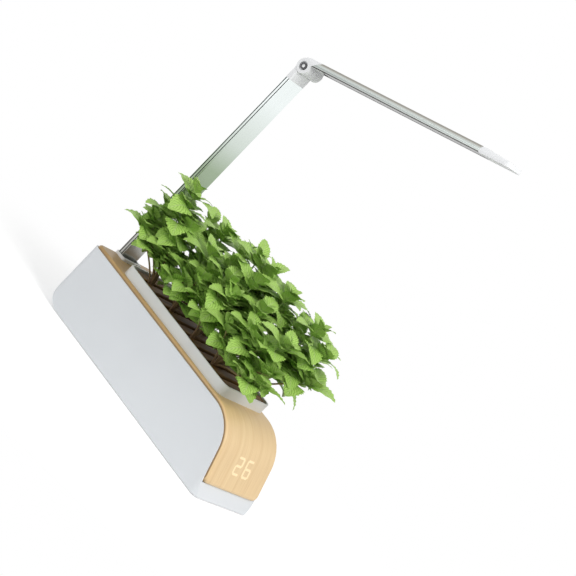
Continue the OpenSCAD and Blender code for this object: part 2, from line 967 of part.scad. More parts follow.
module stem_foot() {
  color("lightgray")
    placed()
      translate([stem_x, -lamp_front, 0])
        difference() {
          union() {
            translate([-foot_t / 2, -foot_tongue_w / 2, pivot_z])
              cube([foot_t, foot_tongue_w, stem_z0 - pivot_z + eps]);
            translate([0, 0, pivot_z])
              rotate([90, 0, 0])
                cylinder(d = foot_t, h = foot_tongue_w, center = true);
            translate([-foot_t / 2, -foot_tongue_w / 2, stem_z0])
              cube([foot_t, foot_tongue_w, 40]);
          }
          translate([0, 0, pivot_z])
            rotate([90, 0, 0])
              cylinder(d = pivot_d + 2 * run_gap, h = foot_tongue_w + 2, center = true);
        }
}

// Extruded stem: rounded edges, two grooves down each narrow side, hollow
groove_w = 1.3;
groove_deep = 1.1;
groove_off = 2.1;
module stem_section() {
  difference() {
    round_rect(stem_t, stem_w, 1.6);
    round_rect(stem_t - 2 * stem_skin, stem_w - 2 * (stem_skin + groove_deep), 0.6);
    for (side = [-1, 1], off = [-groove_off, groove_off])
      translate([off - groove_w / 2, side * stem_w / 2 - groove_deep])
        square([groove_w, 2 * groove_deep]);
  }
}

module stem_profile() {
  color("silver")
    placed()
      translate([stem_x, -lamp_front, stem_z0])
        linear_extrude(stem_l)
          stem_section();
}

// Knuckle on top of the stem: a block with a saddle, and one barrel piece in the middle
module stem_knuckle() {
  insert_t = stem_t - 2 * stem_skin - 0.2;
  insert_w = stem_w - 2 * (stem_skin + groove_deep) - 0.2;
  color("whitesmoke")
    placed()
      translate([0, -lamp_front, 0])
        difference() {
          union() {
            difference() {
              translate([stem_x, 0, stem_z1])
                linear_extrude(hinge_rise - 4)
                  round_rect(stem_t, stem_w, 1.6);
              translate([hinge_x, 0, hinge_z])
                rotate([90, 0, 0])
                  cylinder(r = barrel_r + swing_gap, h = stem_w + 2, center = true);
            }
            translate([stem_x, 0, stem_z1 - 16])
              linear_extrude(16 + eps)
                round_rect(insert_t, insert_w, 0.6);
            translate([hinge_x, 0, hinge_z])
              rotate([90, 0, 0])
                cylinder(r = barrel_r, h = knuckle_w, center = true);
            translate([stem_start, -knuckle_w / 2, stem_z1 + 4])
              cube([stem_t, knuckle_w, hinge_rise - 8]);
          }
          translate([hinge_x, 0, hinge_z])
            rotate([90, 0, 0])
              cylinder(d = hinge_bolt_d + 2 * run_gap, h = stem_w, center = true);
        }
}

// Frame of the head: X along the head, Z out of its top, from the hinge axis
module on_head() {
  placed()
    translate([hinge_x, -lamp_front, hinge_z])
      rotate([0, -head_pitch, 0])
        children();
}

head_round = 7;
module head_outline(in) {
  w = head_w - 2 * in;
  r = head_round - in;
  translate([-w / 2, head_lift + in])
    square([w, head_t - 2 * in - r]);
  translate([-w / 2 + r, head_lift + in])
    square([w - 2 * r, head_t - 2 * in]);
  intersection() {
    translate([-w / 2, head_lift + in])
      square([w, head_t]);
    for (side = [-1, 1])
      translate([side * (w / 2 - r), head_lift + head_t - in - r])
        circle(r = r);
  }
}

module head_bar(in, from, to) {
  translate([from, 0, 0])
    rotate([90, 0, 90])
      linear_extrude(to - from)
        head_outline(in);
}

// Slanted face where the neck meets the extrusion, pushed along by a shift
module neck_side(shift) {
  top = head_lift + head_t + 3;
  slant = (metal_top_u - metal_low_u) / head_t;
  low = head_lift - 6;
  rotate([90, 0, 0])
    linear_extrude(head_w + 2, center = true)
      polygon([[metal_low_u - 6 * slant + shift, low], [metal_top_u + 3 * slant + shift, top],
        [-60, top], [-60, low]]);
}

module head_neck() {
  swing_r = barrel_r + swing_gap;
  out = head_lift + head_t;
  ear_y = head_w / 2;
  color("whitesmoke")
    on_head()
      difference() {
        union() {
          rotate([90, 0, 0])
            cylinder(r = barrel_r, h = head_w, center = true);
          intersection() {
            union() {
              head_bar(0, -barrel_r, metal_top_u + 3);
              translate([0, -head_w / 2, 0])
                cube([metal_low_u, head_w, head_lift + 2]);
            }
            neck_side(-0.05);
            rotate([0, -38, 0])
              translate([0, -head_w, -barrel_r])
                cube([80, 2 * head_w, 2 * barrel_r]);
          }
          head_bar(head_skin + 0.1, metal_low_u - 1, metal_top_u + neck_tongue);
        }
        rotate([90, 0, 0])
          cylinder(r = swing_r, h = knuckle_w + 2 * swing_gap, center = true);
        translate([0, -(knuckle_w + 2 * swing_gap) / 2, -out])
          mirror([1, 0, 0])
            cube([2 * swing_r, knuckle_w + 2 * swing_gap, 3 * out]);
        rotate([90, 0, 0])
          cylinder(d = hinge_bolt_d, h = head_w + 2, center = true);
        for (side = [-1, 1])
          translate([0, side * (ear_y - 1), 0])
            rotate([90, 0, 0])
              cylinder(d = 12.5, h = 2 + 2 * eps, center = true);
        translate([metal_top_u, -head_w, head_lift - 1])
          cube([neck_tongue + 2, 2 * head_w, 5.3]);
      }
}

module hinge_bolt() {
  seat = head_w / 2 - 2;
  color("gray")
    on_head()
      rotate([90, 0, 0]) {
        translate([0, 0, -seat - 1.6])
          cylinder(d = hinge_bolt_d, h = 2 * seat + 1.6);
        translate([0, 0, seat])
          difference() {
            cylinder(d = 9.5, h = 1.7);
            translate([0, 0, 0.5])
              cylinder(d = 4, h = 2, $fn = 6);
          }
      }
}

module hinge_nut() {
  seat = head_w / 2 - 2;
  color("gray")
    on_head()
      rotate([90, 0, 0])
        translate([0, 0, -seat - 1.7])
          difference() {
            cylinder(d = 10, h = 1.7, $fn = 6);
            translate([0, 0, -1])
              cylinder(d = hinge_bolt_d, h = 4);
          }
}

lens_w = head_w - 6;
module head_profile() {
  color("silver")
    on_head()
      difference() {
        head_bar(0, metal_low_u, cap_start);
        head_bar(head_skin, 0, cap_start + 1);
        neck_side(0);
        translate([0, -lens_w / 2, head_lift - 1])
          cube([head_l, lens_w, head_skin + 2]);
      }
}

module led_board() {
  pitch = 11;
  low = head_lift + 2.6;
  color("white")
    on_head() {
      translate([metal_top_u + 6, -lens_w / 2 + 0.5, low])
        cube([cap_start - metal_top_u - 8, lens_w - 1, 1.2]);
      for (n = [0:20], row = [-1, 1])
        translate([metal_top_u + 14 + n * pitch, row * 6 - 1.4, low - 0.7])
          cube([2.8, 2.8, 0.7 + eps]);
    }
}

module led_lens() {
  color("dimgray")
    on_head()
      translate([metal_top_u + 2, -lens_w / 2 + 0.15, head_lift + 0.2])
        cube([cap_start - metal_top_u - 2.2, lens_w - 0.3, 1.5]);
}

module head_cap() {
  tip_drop = 3.4;
  color("whitesmoke")
    on_head()
      difference() {
        union() {
          intersection() {
            head_bar(0, cap_start, head_l);
            translate([head_l / 2, 0, 0])
              linear_extrude(2 * (head_lift + head_t))
                round_rect(head_l, head_w, 9);
          }
          head_bar(head_skin + 0.15, cap_start - cap_tongue, cap_start + eps);
        }
        translate([cap_start + 6, -head_w, head_lift + head_t])
          rotate([0, atan(tip_drop / (cap_l - 6)), 0])
            cube([2 * cap_l, 2 * head_w, head_t]);
        translate([cap_start - cap_tongue - 1, -lens_w / 2, head_lift - 1])
          cube([cap_tongue + 1, lens_w, 4.9]);
      }
}

outer_shell();
wood_cover();
base_plate();
foot_strips();
base_screws();
water_tank();
pump_motor();
pump_volute();
pump_cover();
pump_impeller();
riser_tube();
level_sensor();
control_board();
display_board();
display_digits();
display_screws();
dc_inlet();
lamp_collar();
stem_pin();
planting_tray();
deck_rails();
slat(1);  // slat_1
slat(2);  // slat_2
slat(3);  // slat_3
slat(4);  // slat_4
slat(5);  // slat_5
slat(6);  // slat_6
slat(7);  // slat_7
slat(8);  // slat_8
slat(9);  // slat_9
grow_sponges();
mint(0);  // mint_1
mint(1);  // mint_2
mint(2);  // mint_3
mint(3);  // mint_4
mint(4);  // mint_5
mint(5);  // mint_6
mint(6);  // mint_7
mint(7);  // mint_8
stem_foot();
stem_profile();
stem_knuckle();
head_neck();
hinge_bolt();
hinge_nut();
head_profile();
led_board();
led_lens();
head_cap();
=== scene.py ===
# %% [markdown]
# # A countertop hydroponic garden, dressed for its picture
# The CAD model gives every rigid piece its size and place. Here those pieces get their
# finishes, and what is alive or soft, the mint and the grow sponges, is made as real
# surfaces. Everything is in metres: x runs along the planter, y towards its rear, z up.

# %% Load the frame and keep its box
import math

import bpy
import numpy as np
from mathutils import Matrix, Vector


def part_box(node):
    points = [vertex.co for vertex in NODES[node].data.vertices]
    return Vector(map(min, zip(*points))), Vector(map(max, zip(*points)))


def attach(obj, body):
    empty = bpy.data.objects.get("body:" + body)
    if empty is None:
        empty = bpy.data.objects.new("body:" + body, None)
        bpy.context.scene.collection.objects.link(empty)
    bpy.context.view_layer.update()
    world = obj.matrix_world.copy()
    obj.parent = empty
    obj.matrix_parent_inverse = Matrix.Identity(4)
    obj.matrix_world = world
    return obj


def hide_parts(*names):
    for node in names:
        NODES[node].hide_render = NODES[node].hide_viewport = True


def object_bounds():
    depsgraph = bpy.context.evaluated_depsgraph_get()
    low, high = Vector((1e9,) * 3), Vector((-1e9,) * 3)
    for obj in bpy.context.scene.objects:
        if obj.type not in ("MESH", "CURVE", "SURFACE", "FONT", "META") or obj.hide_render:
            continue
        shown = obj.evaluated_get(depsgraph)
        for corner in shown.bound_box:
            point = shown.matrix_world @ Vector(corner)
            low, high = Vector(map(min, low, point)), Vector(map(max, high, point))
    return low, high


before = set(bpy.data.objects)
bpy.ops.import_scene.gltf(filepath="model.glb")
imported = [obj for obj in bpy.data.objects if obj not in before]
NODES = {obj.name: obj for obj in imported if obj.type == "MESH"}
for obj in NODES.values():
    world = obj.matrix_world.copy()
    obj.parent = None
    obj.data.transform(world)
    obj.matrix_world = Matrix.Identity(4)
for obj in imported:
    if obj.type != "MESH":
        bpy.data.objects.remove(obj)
cad_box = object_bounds()
print("CAD box", [[round(c, 4) for c in corner] for corner in cad_box])

# %% [markdown]
# ## The camera
# The picture was taken with a long lens, from in front of the planter, a little above it
# and towards the waterfall end, and the whole scene was then turned by 46 degrees. A
# camera can be placed by eye, or from its own angles. The angles are used here, because
# a long lens flattens the view so much that a guess by eye is soon a few degrees out.

# %% Camera angles and place
HEADING = -0.5562
DIP = 0.1746
ROLL = -0.02809
PICTURE_TURN = math.radians(46)
SENSOR_MM = 36.0
FOCAL_PX = 2484.0
PICTURE_PX = 576
LAMP_END_M = Vector((-0.18, 0.0, 0.0012))
LAMP_END_FROM_CAMERA_M = Vector((-0.1731, 0.2176, 3.190))
CLIP_END_M = 100


def in_scene(name, data):
    made = bpy.data.objects.new(name, data)
    bpy.context.scene.collection.objects.link(made)
    return made


def turn_in_picture(angle):
    return Matrix.Rotation(angle, 3, "Z")


def place_camera():
    upright = Matrix(((1, 0, 0), (0, 0, -1), (0, 1, 0)))
    dip = Matrix.Rotation(DIP, 3, "X")
    heading = Matrix.Rotation(HEADING, 3, "Z")
    picture = turn_in_picture(PICTURE_TURN)
    to_view = picture @ turn_in_picture(ROLL) @ dip @ upright @ heading
    offset = picture @ LAMP_END_FROM_CAMERA_M
    to_blender = Matrix(((1, 0, 0), (0, -1, 0), (0, 0, -1)))
    turned = (to_blender @ to_view).transposed()
    place = LAMP_END_M - to_view.transposed() @ offset
    data = bpy.data.cameras.new("picture_camera")
    data.sensor_width = SENSOR_MM
    data.lens = FOCAL_PX * SENSOR_MM / PICTURE_PX
    data.clip_end = CLIP_END_M
    camera = in_scene("picture_camera", data)
    camera.matrix_world = Matrix.Translation(place) @ turned.to_4x4()
    bpy.context.scene.camera = camera
    return camera


camera = place_camera()
print("camera", [round(c, 3) for c in camera.location], "lens", round(camera.data.lens, 1))

# %% [markdown]
# ## Small helpers for shader nodes
# A procedural material is a short chain of nodes. Writing each chain out in full would
# bury the idea in wiring, so small helpers do the wiring. One adds a node and sets its
# sockets, one starts a material, and the others are links that come back in most chains:
# a ramp of colours, a stretched noise, a change of range, the piece's own coordinates.


# %% Node helpers
def add(tree, kind, inputs=None, **settings):
    node = tree.nodes.new(kind)
    for name, value in settings.items():
        setattr(node, name, value)
    for name, value in (inputs or {}).items():
        socket = node.inputs[name]
        if isinstance(value, bpy.types.NodeSocket):
            tree.links.new(value, socket)
        else:
            socket.default_value = value
    return node


def start_material(name, roughness=0.5, metallic=0.0, specular=0.5, coat=0.0):
    material = bpy.data.materials.new(name)
    material.use_nodes = True
    tree = material.node_tree
    shader = tree.nodes["Principled BSDF"]
    shader.inputs["Roughness"].default_value = roughness
    shader.inputs["Metallic"].default_value = metallic
    shader.inputs["Specular IOR Level"].default_value = specular
    shader.inputs["Coat Weight"].default_value = coat
    return material, tree, shader


def ramp(tree, factor, stops, smooth=True):
    node = add(tree, "ShaderNodeValToRGB", {"Fac": factor})
    band = node.color_ramp
    band.interpolation = "EASE" if smooth else "LINEAR"
    while len(band.elements) < len(stops):
        band.elements.new(0.5)
    for element, (place, colour) in zip(band.elements, stops):
        element.position = place
        element.color = (*colour, 1.0)
    return node.outputs["Color"]


def coordinates(tree, source="Object"):
    return add(tree, "ShaderNodeTexCoord").outputs[source]


def axes_of(tree, vector):
    return add(tree, "ShaderNodeSeparateXYZ", {0: vector}).outputs


def stretched(tree, scale=(1, 1, 1)):
    mapping = add(tree, "ShaderNodeMapping", {"Vector": coordinates(tree), "Scale": scale})
    return mapping.outputs["Vector"]


def noise(tree, scale, vector, detail, rough=0.5):
    inputs = {"Vector": vector, "Scale": scale, "Detail": detail, "Roughness": rough}
    return add(tree, "ShaderNodeTexNoise", inputs).outputs["Fac"]


def blend_colours(tree, factor, first, second, mode="MIX"):
    node = add(tree, "ShaderNodeMix", data_type="RGBA", blend_type=mode)
    for index, value in ((0, factor), (6, first), (7, second)):
        if isinstance(value, bpy.types.NodeSocket):
            tree.links.new(value, node.inputs[index])
        elif index == 0:
            node.inputs[index].default_value = value
        else:
            node.inputs[index].default_value = (*value, 1.0)
    return node.outputs[2]


def arithmetic(tree, operation, first, second=0.0):
    node = add(tree, "ShaderNodeMath", {0: first, 1: second}, operation=operation)
    return node.outputs[0]


def vector_value(tree, operation, first, second=(0.0, 0.0, 0.0)):
    node = add(tree, "ShaderNodeVectorMath", {0: first, 1: second}, operation=operation)
    return node.outputs["Value"]


def remap(tree, value, low, high, to_low=0.0, to_high=1.0, smooth=False):
    inputs = {"Value": value, "From Min": low, "From Max": high}
    inputs.update({"To Min": to_low, "To Max": to_high})
    kind = "SMOOTHSTEP" if smooth else "LINEAR"
    node = add(tree, "ShaderNodeMapRange", inputs, interpolation_type=kind)
    return node.outputs["Result"]


def put_bump(tree, shader, height, distance, strength):
    inputs = {"Height": height, "Distance": distance, "Strength": strength}
    bump = add(tree, "ShaderNodeBump", inputs)
    tree.links.new(bump.outputs["Normal"], shader.inputs["Normal"])


def paint(material, *names):
    for name in names:
        data = NODES[name].data
        data.materials.clear()
        data.materials.append(material)
    return len(names)


# %% [markdown]
# ## Moulded white plastic
# The shell is an injection moulding with a fine spark-eroded texture, cool white. A flat
# white would look like paper, so the colour drifts a little over the panel, and a very
# fine bump breaks the highlight. The lamp's collar, knuckle, neck and end cap are
# lighter and come from a polished tool, and the tray is a little warmer. They share the
# recipe without the bump.


# %% White plastic
def white_plastic(name, light, dark, roughness, grain=0, grain_depth=0):
    material, tree, shader = start_material(name, roughness, specular=0.45)
    drift = noise(tree, 9.0, stretched(tree), detail=2.0)
    colour = ramp(tree, drift, ((0.3, dark), (0.7, light)))
    tree.links.new(colour, shader.inputs["Base Color"])
    if grain_depth:
        speck = noise(tree, grain, stretched(tree), detail=1.0)
        put_bump(tree, shader, speck, grain_depth, 0.35)
    return material


shell_white = white_plastic(
    "matte_white_moulding", (0.72, 0.745, 0.77), (0.695, 0.72, 0.745), 0.46, 2600, 0.00003
)
polished_white = white_plastic(
    "polished_white_moulding", (0.83, 0.84, 0.85), (0.80, 0.81, 0.825), 0.42
)
tray_white = white_plastic(
    "tray_white_moulding", (0.69, 0.70, 0.68), (0.665, 0.675, 0.655), 0.34
)
whites = paint(shell_white, "outer_shell", "base_plate")
whites += paint(polished_white, "lamp_collar", "stem_knuckle", "head_neck", "head_cap")
whites += paint(tray_white, "planting_tray")
print("white plastic on", whites, "nodes")

# %% [markdown]
# ## Light maple and dark slats
# The cover is a veneer, light and warm, with its grain along the planter and down over
# the waterfall. Grain is noise that is stretched about sixtyfold along the wood. The
# lines stay in place across the top and down the slope, because the noise varies mostly
# across the planter, and slowly along it. A second, finer noise gives the pores. The
# deck is dark oiled wood from the same recipe, with the grain along each slat.

# %% Wood
WARP_SHARE = 0.55
PORE_SHARE, PORE_FINENESS = 0.55, 9
PORE_TONES = ((0.30, (0.80, 0.74, 0.66)), (0.46, (1.0, 1.0, 1.0)))
SLAT_SPECULAR = 0.12
SLATS = [f"slat_{number}" for number in range(1, 10)]


def wood(name, light, middle, dark, stretch, fineness, roughness, coat):
    material, tree, shader = start_material(name, roughness, specular=0.4, coat=coat)
    shader.inputs["Coat Roughness"].default_value = 0.3
    along = stretched(tree, stretch)
    warp = noise(tree, 2.2, along, detail=4.0, rough=0.6)
    figure = noise(tree, fineness, along, detail=6.0, rough=0.62)
    warp_part = arithmetic(tree, "MULTIPLY", warp, WARP_SHARE)
    figure_part = arithmetic(tree, "MULTIPLY", figure, 1 - WARP_SHARE)
    total = arithmetic(tree, "ADD", warp_part, figure_part)
    colour = ramp(tree, total, ((0.34, dark), (0.5, middle), (0.66, light)))
    pores = noise(tree, fineness * PORE_FINENESS, along, detail=2.0)
    pore_tone = ramp(tree, pores, PORE_TONES)
    colour = blend_colours(tree, PORE_SHARE, colour, pore_tone, "MULTIPLY")
    tree.links.new(colour, shader.inputs["Base Color"])
    put_bump(tree, shader, pores, 0.00008, 0.3)
    return material, tree, shader, colour


maple, maple_tree, maple_shader, maple_colour = wood(
    "light_maple", (0.815, 0.61, 0.345), (0.785, 0.572, 0.315), (0.735, 0.515, 0.27),
    (0.7, 42.0, 0.55), 4.2, 0.42, 0.12,
)
walnut, _, walnut_shader, _ = wood(
    "oiled_dark_slat", (0.32, 0.17, 0.05), (0.18, 0.09, 0.026), (0.07, 0.032, 0.010),
    (46.0, 2.2, 46.0), 3.0, 0.6, 0.0,
)
walnut_shader.inputs["Specular IOR Level"].default_value = SLAT_SPECULAR
woods = paint(maple, "wood_cover") + paint(walnut, "deck_rails", *SLATS)
print("wood on", woods, "nodes")

# %% [markdown]
# ## Painted shade on the cover
# The cover's top is darker towards the lamp, and its faces that look sideways are darker
# than its top. Both are shade. Lights could be moved until they give this, but then the
# white panel would change too. So both are painted shade over the grain: a ramp along the
# planter, and a darker tone wherever the surface looks sideways.

# %% Shade the cover
COVER_END_X = 0.18
# Painted shade along the top, darkest at the lamp end.
PAINTED_COVER_SHADE = (
    (0.0, (0.52, 0.44, 0.30)), (0.5, (0.66, 0.58, 0.43)), (0.8, (0.84, 0.78, 0.66)),
    (0.93, (1.0, 1.0, 1.0)),
)
# Painted shade on the faces that look sideways.
SIDE_FACE_SHADE = (0.30, 0.19, 0.085)
SIDE_SHADE_FROM, SIDE_SHADE_TO = 0.90, 0.99


def shade_cover(tree, shader, colour):
    along = axes_of(tree, coordinates(tree))["X"]
    # Painted shade: the top darkens towards the lamp.
    from_lamp = remap(tree, along, -COVER_END_X, COVER_END_X)
    shade = ramp(tree, from_lamp, PAINTED_COVER_SHADE, smooth=False)
    colour = blend_colours(tree, 1.0, colour, shade, "MULTIPLY")
    facing = axes_of(tree, coordinates(tree, "Normal"))["Y"]
    sideways = arithmetic(tree, "ABSOLUTE", facing)
    # Painted shade where the surface looks sideways.
    edge = remap(tree, sideways, SIDE_SHADE_FROM, SIDE_SHADE_TO)
    colour = blend_colours(tree, edge, colour, SIDE_FACE_SHADE)
    tree.links.new(colour, shader.inputs["Base Color"])


shade_cover(maple_tree, maple_shader, maple_colour)
print("cover shaded in", len(PAINTED_COVER_SHADE), "steps from the lamp to the slope")

# %% [markdown]
# ## Aluminium
# The stem and the lamp's arm are extrusions, and the die leaves straight drawing lines
# along them, so both are streaked lengthwise. A metal's colour is what it mirrors, and
# that could be left to the studio. But the studio is plain white, and the room round the
# real planter was not. So that room's reflection is painted into the metal: the fall of
# tone up the stem and the bands along the arm. The stem's dark grooves and the arm's
# underside are painted shade, and the hinge bolt gets a painted highlight in its middle
# with painted shade round it. The small metal parts only need a tone, a streak and a roughness.

# %% Metals
STEM_MIDDLE_X, STEM_MIDDLE_Y = -0.17175, -0.004
STEM_FROM_Z, STEM_TO_Z = 0.10, 0.46
# Painted reflection: the stem's tone from foot to top.
STEM_PAINTED_REFLECTION = (
    (0.05, (0.40, 0.40, 0.37)), (0.16, (0.66, 0.67, 0.64)), (0.30, (0.30, 0.38, 0.26)),
    (0.44, (0.36, 0.45, 0.32)), (0.56, (0.66, 0.73, 0.67)), (0.76, (0.90, 0.955, 0.945)),
)
GROOVE_X = (0.0014, 0.0028)
GROOVE_FLOOR_Y = 0.0174
# Painted shade in the stem's grooves.
GROOVE_PAINTED_SHADE = (0.04, 0.04, 0.045)
ARM_PITCH_DEG = 17.2
# Painted reflection across the arm's height, with painted shade on its underside.
ARM_PAINTED_REFLECTION_AND_SHADE = (
    (0.0, (0.07, 0.07, 0.065)), (0.10, (0.09, 0.09, 0.085)), (0.15, (0.52, 0.55, 0.53)),
    (0.22, (0.46, 0.49, 0.47)), (0.30, (0.30, 0.33, 0.32)), (0.44, (0.50, 0.54, 0.52)),
    (0.60, (0.62, 0.65, 0.62)), (0.74, (0.44, 0.43, 0.39)), (0.88, (0.29, 0.275, 0.235)),
    (1.0, (0.20, 0.185, 0.15)),
)
# A painted highlight in the bolt's middle, with painted shade round it.
GLINT_FROM, GLINT_TO = 0.0018, 0.0024
BOLT_GLINT_AND_SHADE = ((0.0, (0.80, 0.81, 0.81)), (1.0, (0.10, 0.10, 0.105)))


def drawn_metal(name, light, dark, stretch, roughness, spread):
    material, tree, shader = start_material(name, roughness, metallic=1.0)
    streak = noise(tree, 3.0, stretched(tree, stretch), detail=5.0, rough=0.7)
    colour = ramp(tree, streak, ((0.35, dark), (0.65, light)))
    tree.links.new(colour, shader.inputs["Base Color"])
    streaked = remap(tree, streak, 0.0, 1.0, roughness - spread, roughness + spread)
    tree.links.new(streaked, shader.inputs["Roughness"])
    put_bump(tree, shader, streak, 0.00003, 0.2)
    return material


def drawing_lines(tree, colour, stretch, dark):
    streak = noise(tree, 3.0, stretched(tree, stretch), detail=3.0)
    lines = ramp(tree, streak, ((0.3, (dark, dark, dark)), (0.7, (1.0, 1.0, 1.0))))
    return blend_colours(tree, 1.0, colour, lines, "MULTIPLY")


def within(tree, value, middle, near, far):
    off = arithmetic(tree, "ABSOLUTE", arithmetic(tree, "SUBTRACT", value, middle))
    inner = arithmetic(tree, "GREATER_THAN", off, near)
    return arithmetic(tree, "MULTIPLY", inner, arithmetic(tree, "LESS_THAN", off, far))


def stem_finish():
    material, tree, shader = start_material("polished_aluminium_painted_reflection", 0.26, metallic=1.0)
    axes = axes_of(tree, coordinates(tree))
    up = remap(tree, axes["Z"], STEM_FROM_Z, STEM_TO_Z)
    # Painted reflection up the stem.
    colour = ramp(tree, up, STEM_PAINTED_REFLECTION, smooth=False)
    colour = drawing_lines(tree, colour, (300, 300, 1.5), 0.975)
    # Painted shade in the grooves.
    inside = within(tree, axes["Y"], STEM_MIDDLE_Y, -1.0, GROOVE_FLOOR_Y)
    channel = within(tree, axes["X"], STEM_MIDDLE_X, *GROOVE_X)
    groove_shade = arithmetic(tree, "MULTIPLY", inside, channel)
    colour = blend_colours(tree, groove_shade, colour, GROOVE_PAINTED_SHADE)
    tree.links.new(colour, shader.inputs["Base Color"])
    return material


def arm_finish():
    material, tree, shader = start_material("aluminium_with_painted_reflection", 0.30, metallic=1.0)
    lean = math.radians(ARM_PITCH_DEG)
    upward = Vector((-math.sin(lean), 0.0, math.cos(lean)))
    heights = [vertex.co.dot(upward) for vertex in NODES["head_profile"].data.vertices]
    height = vector_value(tree, "DOT_PRODUCT", coordinates(tree), upward)
    share = remap(tree, height, min(heights), max(heights))
    # Painted reflection and painted shade across the arm.
    colour = ramp(tree, share, ARM_PAINTED_REFLECTION_AND_SHADE, smooth=False)
    colour = drawing_lines(tree, colour, (1.5, 420, 420), 0.94)
    tree.links.new(colour, shader.inputs["Base Color"])
    return material


def bolt_finish():
    material, tree, shader = start_material("bolt_with_painted_glint", 0.3, metallic=1.0)
    low, high = (Vector(corner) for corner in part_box("hinge_bolt"))
    middle = (low + high) / 2
    axes = axes_of(tree, coordinates(tree))
    offsets = {
        "X": arithmetic(tree, "SUBTRACT", axes["X"], middle.x),
        "Z": arithmetic(tree, "SUBTRACT", axes["Z"], middle.z),
    }
    flat = add(tree, "ShaderNodeCombineXYZ", offsets).outputs[0]
    # Painted highlight in the middle of the bolt, painted shade round it.
    ring = remap(tree, vector_value(tree, "LENGTH", flat), GLINT_FROM, GLINT_TO)
    tree.links.new(ramp(tree, ring, BOLT_GLINT_AND_SHADE), shader.inputs["Base Color"])
    return material


plain_metal = drawn_metal(
    "machined_aluminium", (0.75, 0.76, 0.77), (0.66, 0.67, 0.68), (200, 200, 4), 0.35, 0.05
)
zinc = drawn_metal(
    "zinc_plate", (0.66, 0.68, 0.70), (0.55, 0.57, 0.60), (60, 60, 60), 0.38, 0.08
)
black_steel = drawn_metal(
    "black_oxide_steel", (0.16, 0.16, 0.17), (0.10, 0.10, 0.11), (90, 90, 90), 0.36, 0.06
)
metals = paint(stem_finish(), "stem_profile") + paint(arm_finish(), "head_profile")
metals += paint(plain_metal, "stem_foot") + paint(bolt_finish(), "hinge_bolt")
metals += paint(zinc, "base_screws", "display_screws", "stem_pin")
metals += paint(black_steel, "hinge_nut")
print("metal on", metals, "nodes")

# %% [markdown]
# ## Rubber, black resin, the boards and the lens
# These are small or hidden, but the underside and the lamp's underside are seen when the
# part is turned. One flat colour would do for the hidden ones. Each gets its own scale of
# speckle instead, which costs one row: dusty rubber, a black moulding, a solder mask, a
# milky tank, and the strip under the lamp, painted near black as painted shade.

# %% Small finishes
# Each row: pieces, then name, light and dark tone, speck scale, roughness, bump, specular.
SMALL_FINISHES = (
    (
        ("foot_strips",),
        ("grey_rubber", (0.055, 0.055, 0.058), (0.035, 0.035, 0.037), 900, 0.8, 0.00008, 0.2),
    ),
    (
        ("pump_motor", "pump_volute", "pump_cover", "level_sensor", "dc_inlet"),
        ("black_resin", (0.035, 0.036, 0.04), (0.02, 0.02, 0.022), 1400, 0.45, 0.00004),
    ),
    (
        ("water_tank",),
        ("milky_tank_resin", (0.66, 0.72, 0.78), (0.58, 0.65, 0.72), 40, 0.3, 0.00005),
    ),
    (
        ("pump_impeller",),
        ("impeller_resin", (0.50, 0.60, 0.72), (0.42, 0.52, 0.65), 200, 0.3, 0.00003),
    ),
    (
        ("riser_tube",),
        ("clear_tube_resin", (0.72, 0.78, 0.80), (0.62, 0.70, 0.74), 150, 0.18, 0.00002),
    ),
    (
        ("control_board", "display_board"),
        ("solder_mask", (0.02, 0.14, 0.06), (0.012, 0.09, 0.04), 700, 0.3, 0.00003),
    ),
    (
        ("led_board",),
        ("lamp_board_white", (0.82, 0.82, 0.78), (0.72, 0.72, 0.66), 800, 0.5, 0.00002),
    ),
    (
        # The strip under the lamp is painted near black: painted shade on the lamp's underside.
        ("led_lens",),
        ("lens_in_painted_shade", (0.03, 0.03, 0.032), (0.02, 0.02, 0.022), 300, 0.2, 0.00001, 0.5),
    ),
    (
        ("display_digits",),
        ("light_bar_resin", (0.90, 0.86, 0.76), (0.84, 0.79, 0.68), 300, 0.3, 0.00002),
    ),
)


def speckled(name, light, dark, scale, roughness, depth, specular=0.4):
    material, tree, shader = start_material(name, roughness, specular=specular)
    speck = noise(tree, scale, stretched(tree), detail=4.0, rough=0.65)
    colour = ramp(tree, speck, ((0.35, dark), (0.65, light)))
    tree.links.new(colour, shader.inputs["Base Color"])
    put_bump(tree, shader, speck, depth, 0.4)
    return material


small = sum(paint(speckled(*recipe), *names) for names, recipe in SMALL_FINISHES)
print("small finishes on", small, "nodes")

# %% [markdown]
# ## The lit figures
# Two figures made of light bars stand behind the veneer of the waterfall and shine
# through it. The bars themselves are hidden, so the glow is painted where it is seen, on
# the veneer: a thin film of light on the wood would show an edge. Each bar is placed by
# its height up the slope from the toe and by its place across the planter, and the glow
# falls off softly round it, as light does after it has passed through wood.

# %% Where the light bars are on the slope
TOE = Vector((0.18, 0.0, 0.0012))
SLOPE_ANGLE = math.atan(36.0 / 93.5)
UP_SLOPE = (-math.sin(SLOPE_ANGLE), 0.0, math.cos(SLOPE_ANGLE))
FIGURE_MIDDLE = 0.0535
FIGURE_WIDE = 0.0125
FIGURE_HIGH = 0.0215
FIGURE_PITCH = 0.022
BAR_INSET = 0.0016
BARS_LIT = {"2": "abged", "6": "afgecd"}
BAR_CORE, BAR_SOFT = 0.0009, 0.0021
GLOW = (0.26, 0.23, 0.18)
half_wide, half_high = FIGURE_WIDE / 2, FIGURE_HIGH / 2
LYING = (half_wide - BAR_INSET, 0.0)
STANDING = (0.0, half_high / 2 - BAR_INSET)
BARS = {
    "a": ((0, half_high), LYING),
    "g": ((0, 0), LYING),
    "d": ((0, -half_high), LYING),
    "b": ((half_wide, half_high / 2), STANDING),
    "c": ((half_wide, -half_high / 2), STANDING),
    "f": ((-half_wide, half_high / 2), STANDING),
    "e": ((-half_wide, -half_high / 2), STANDING),
}


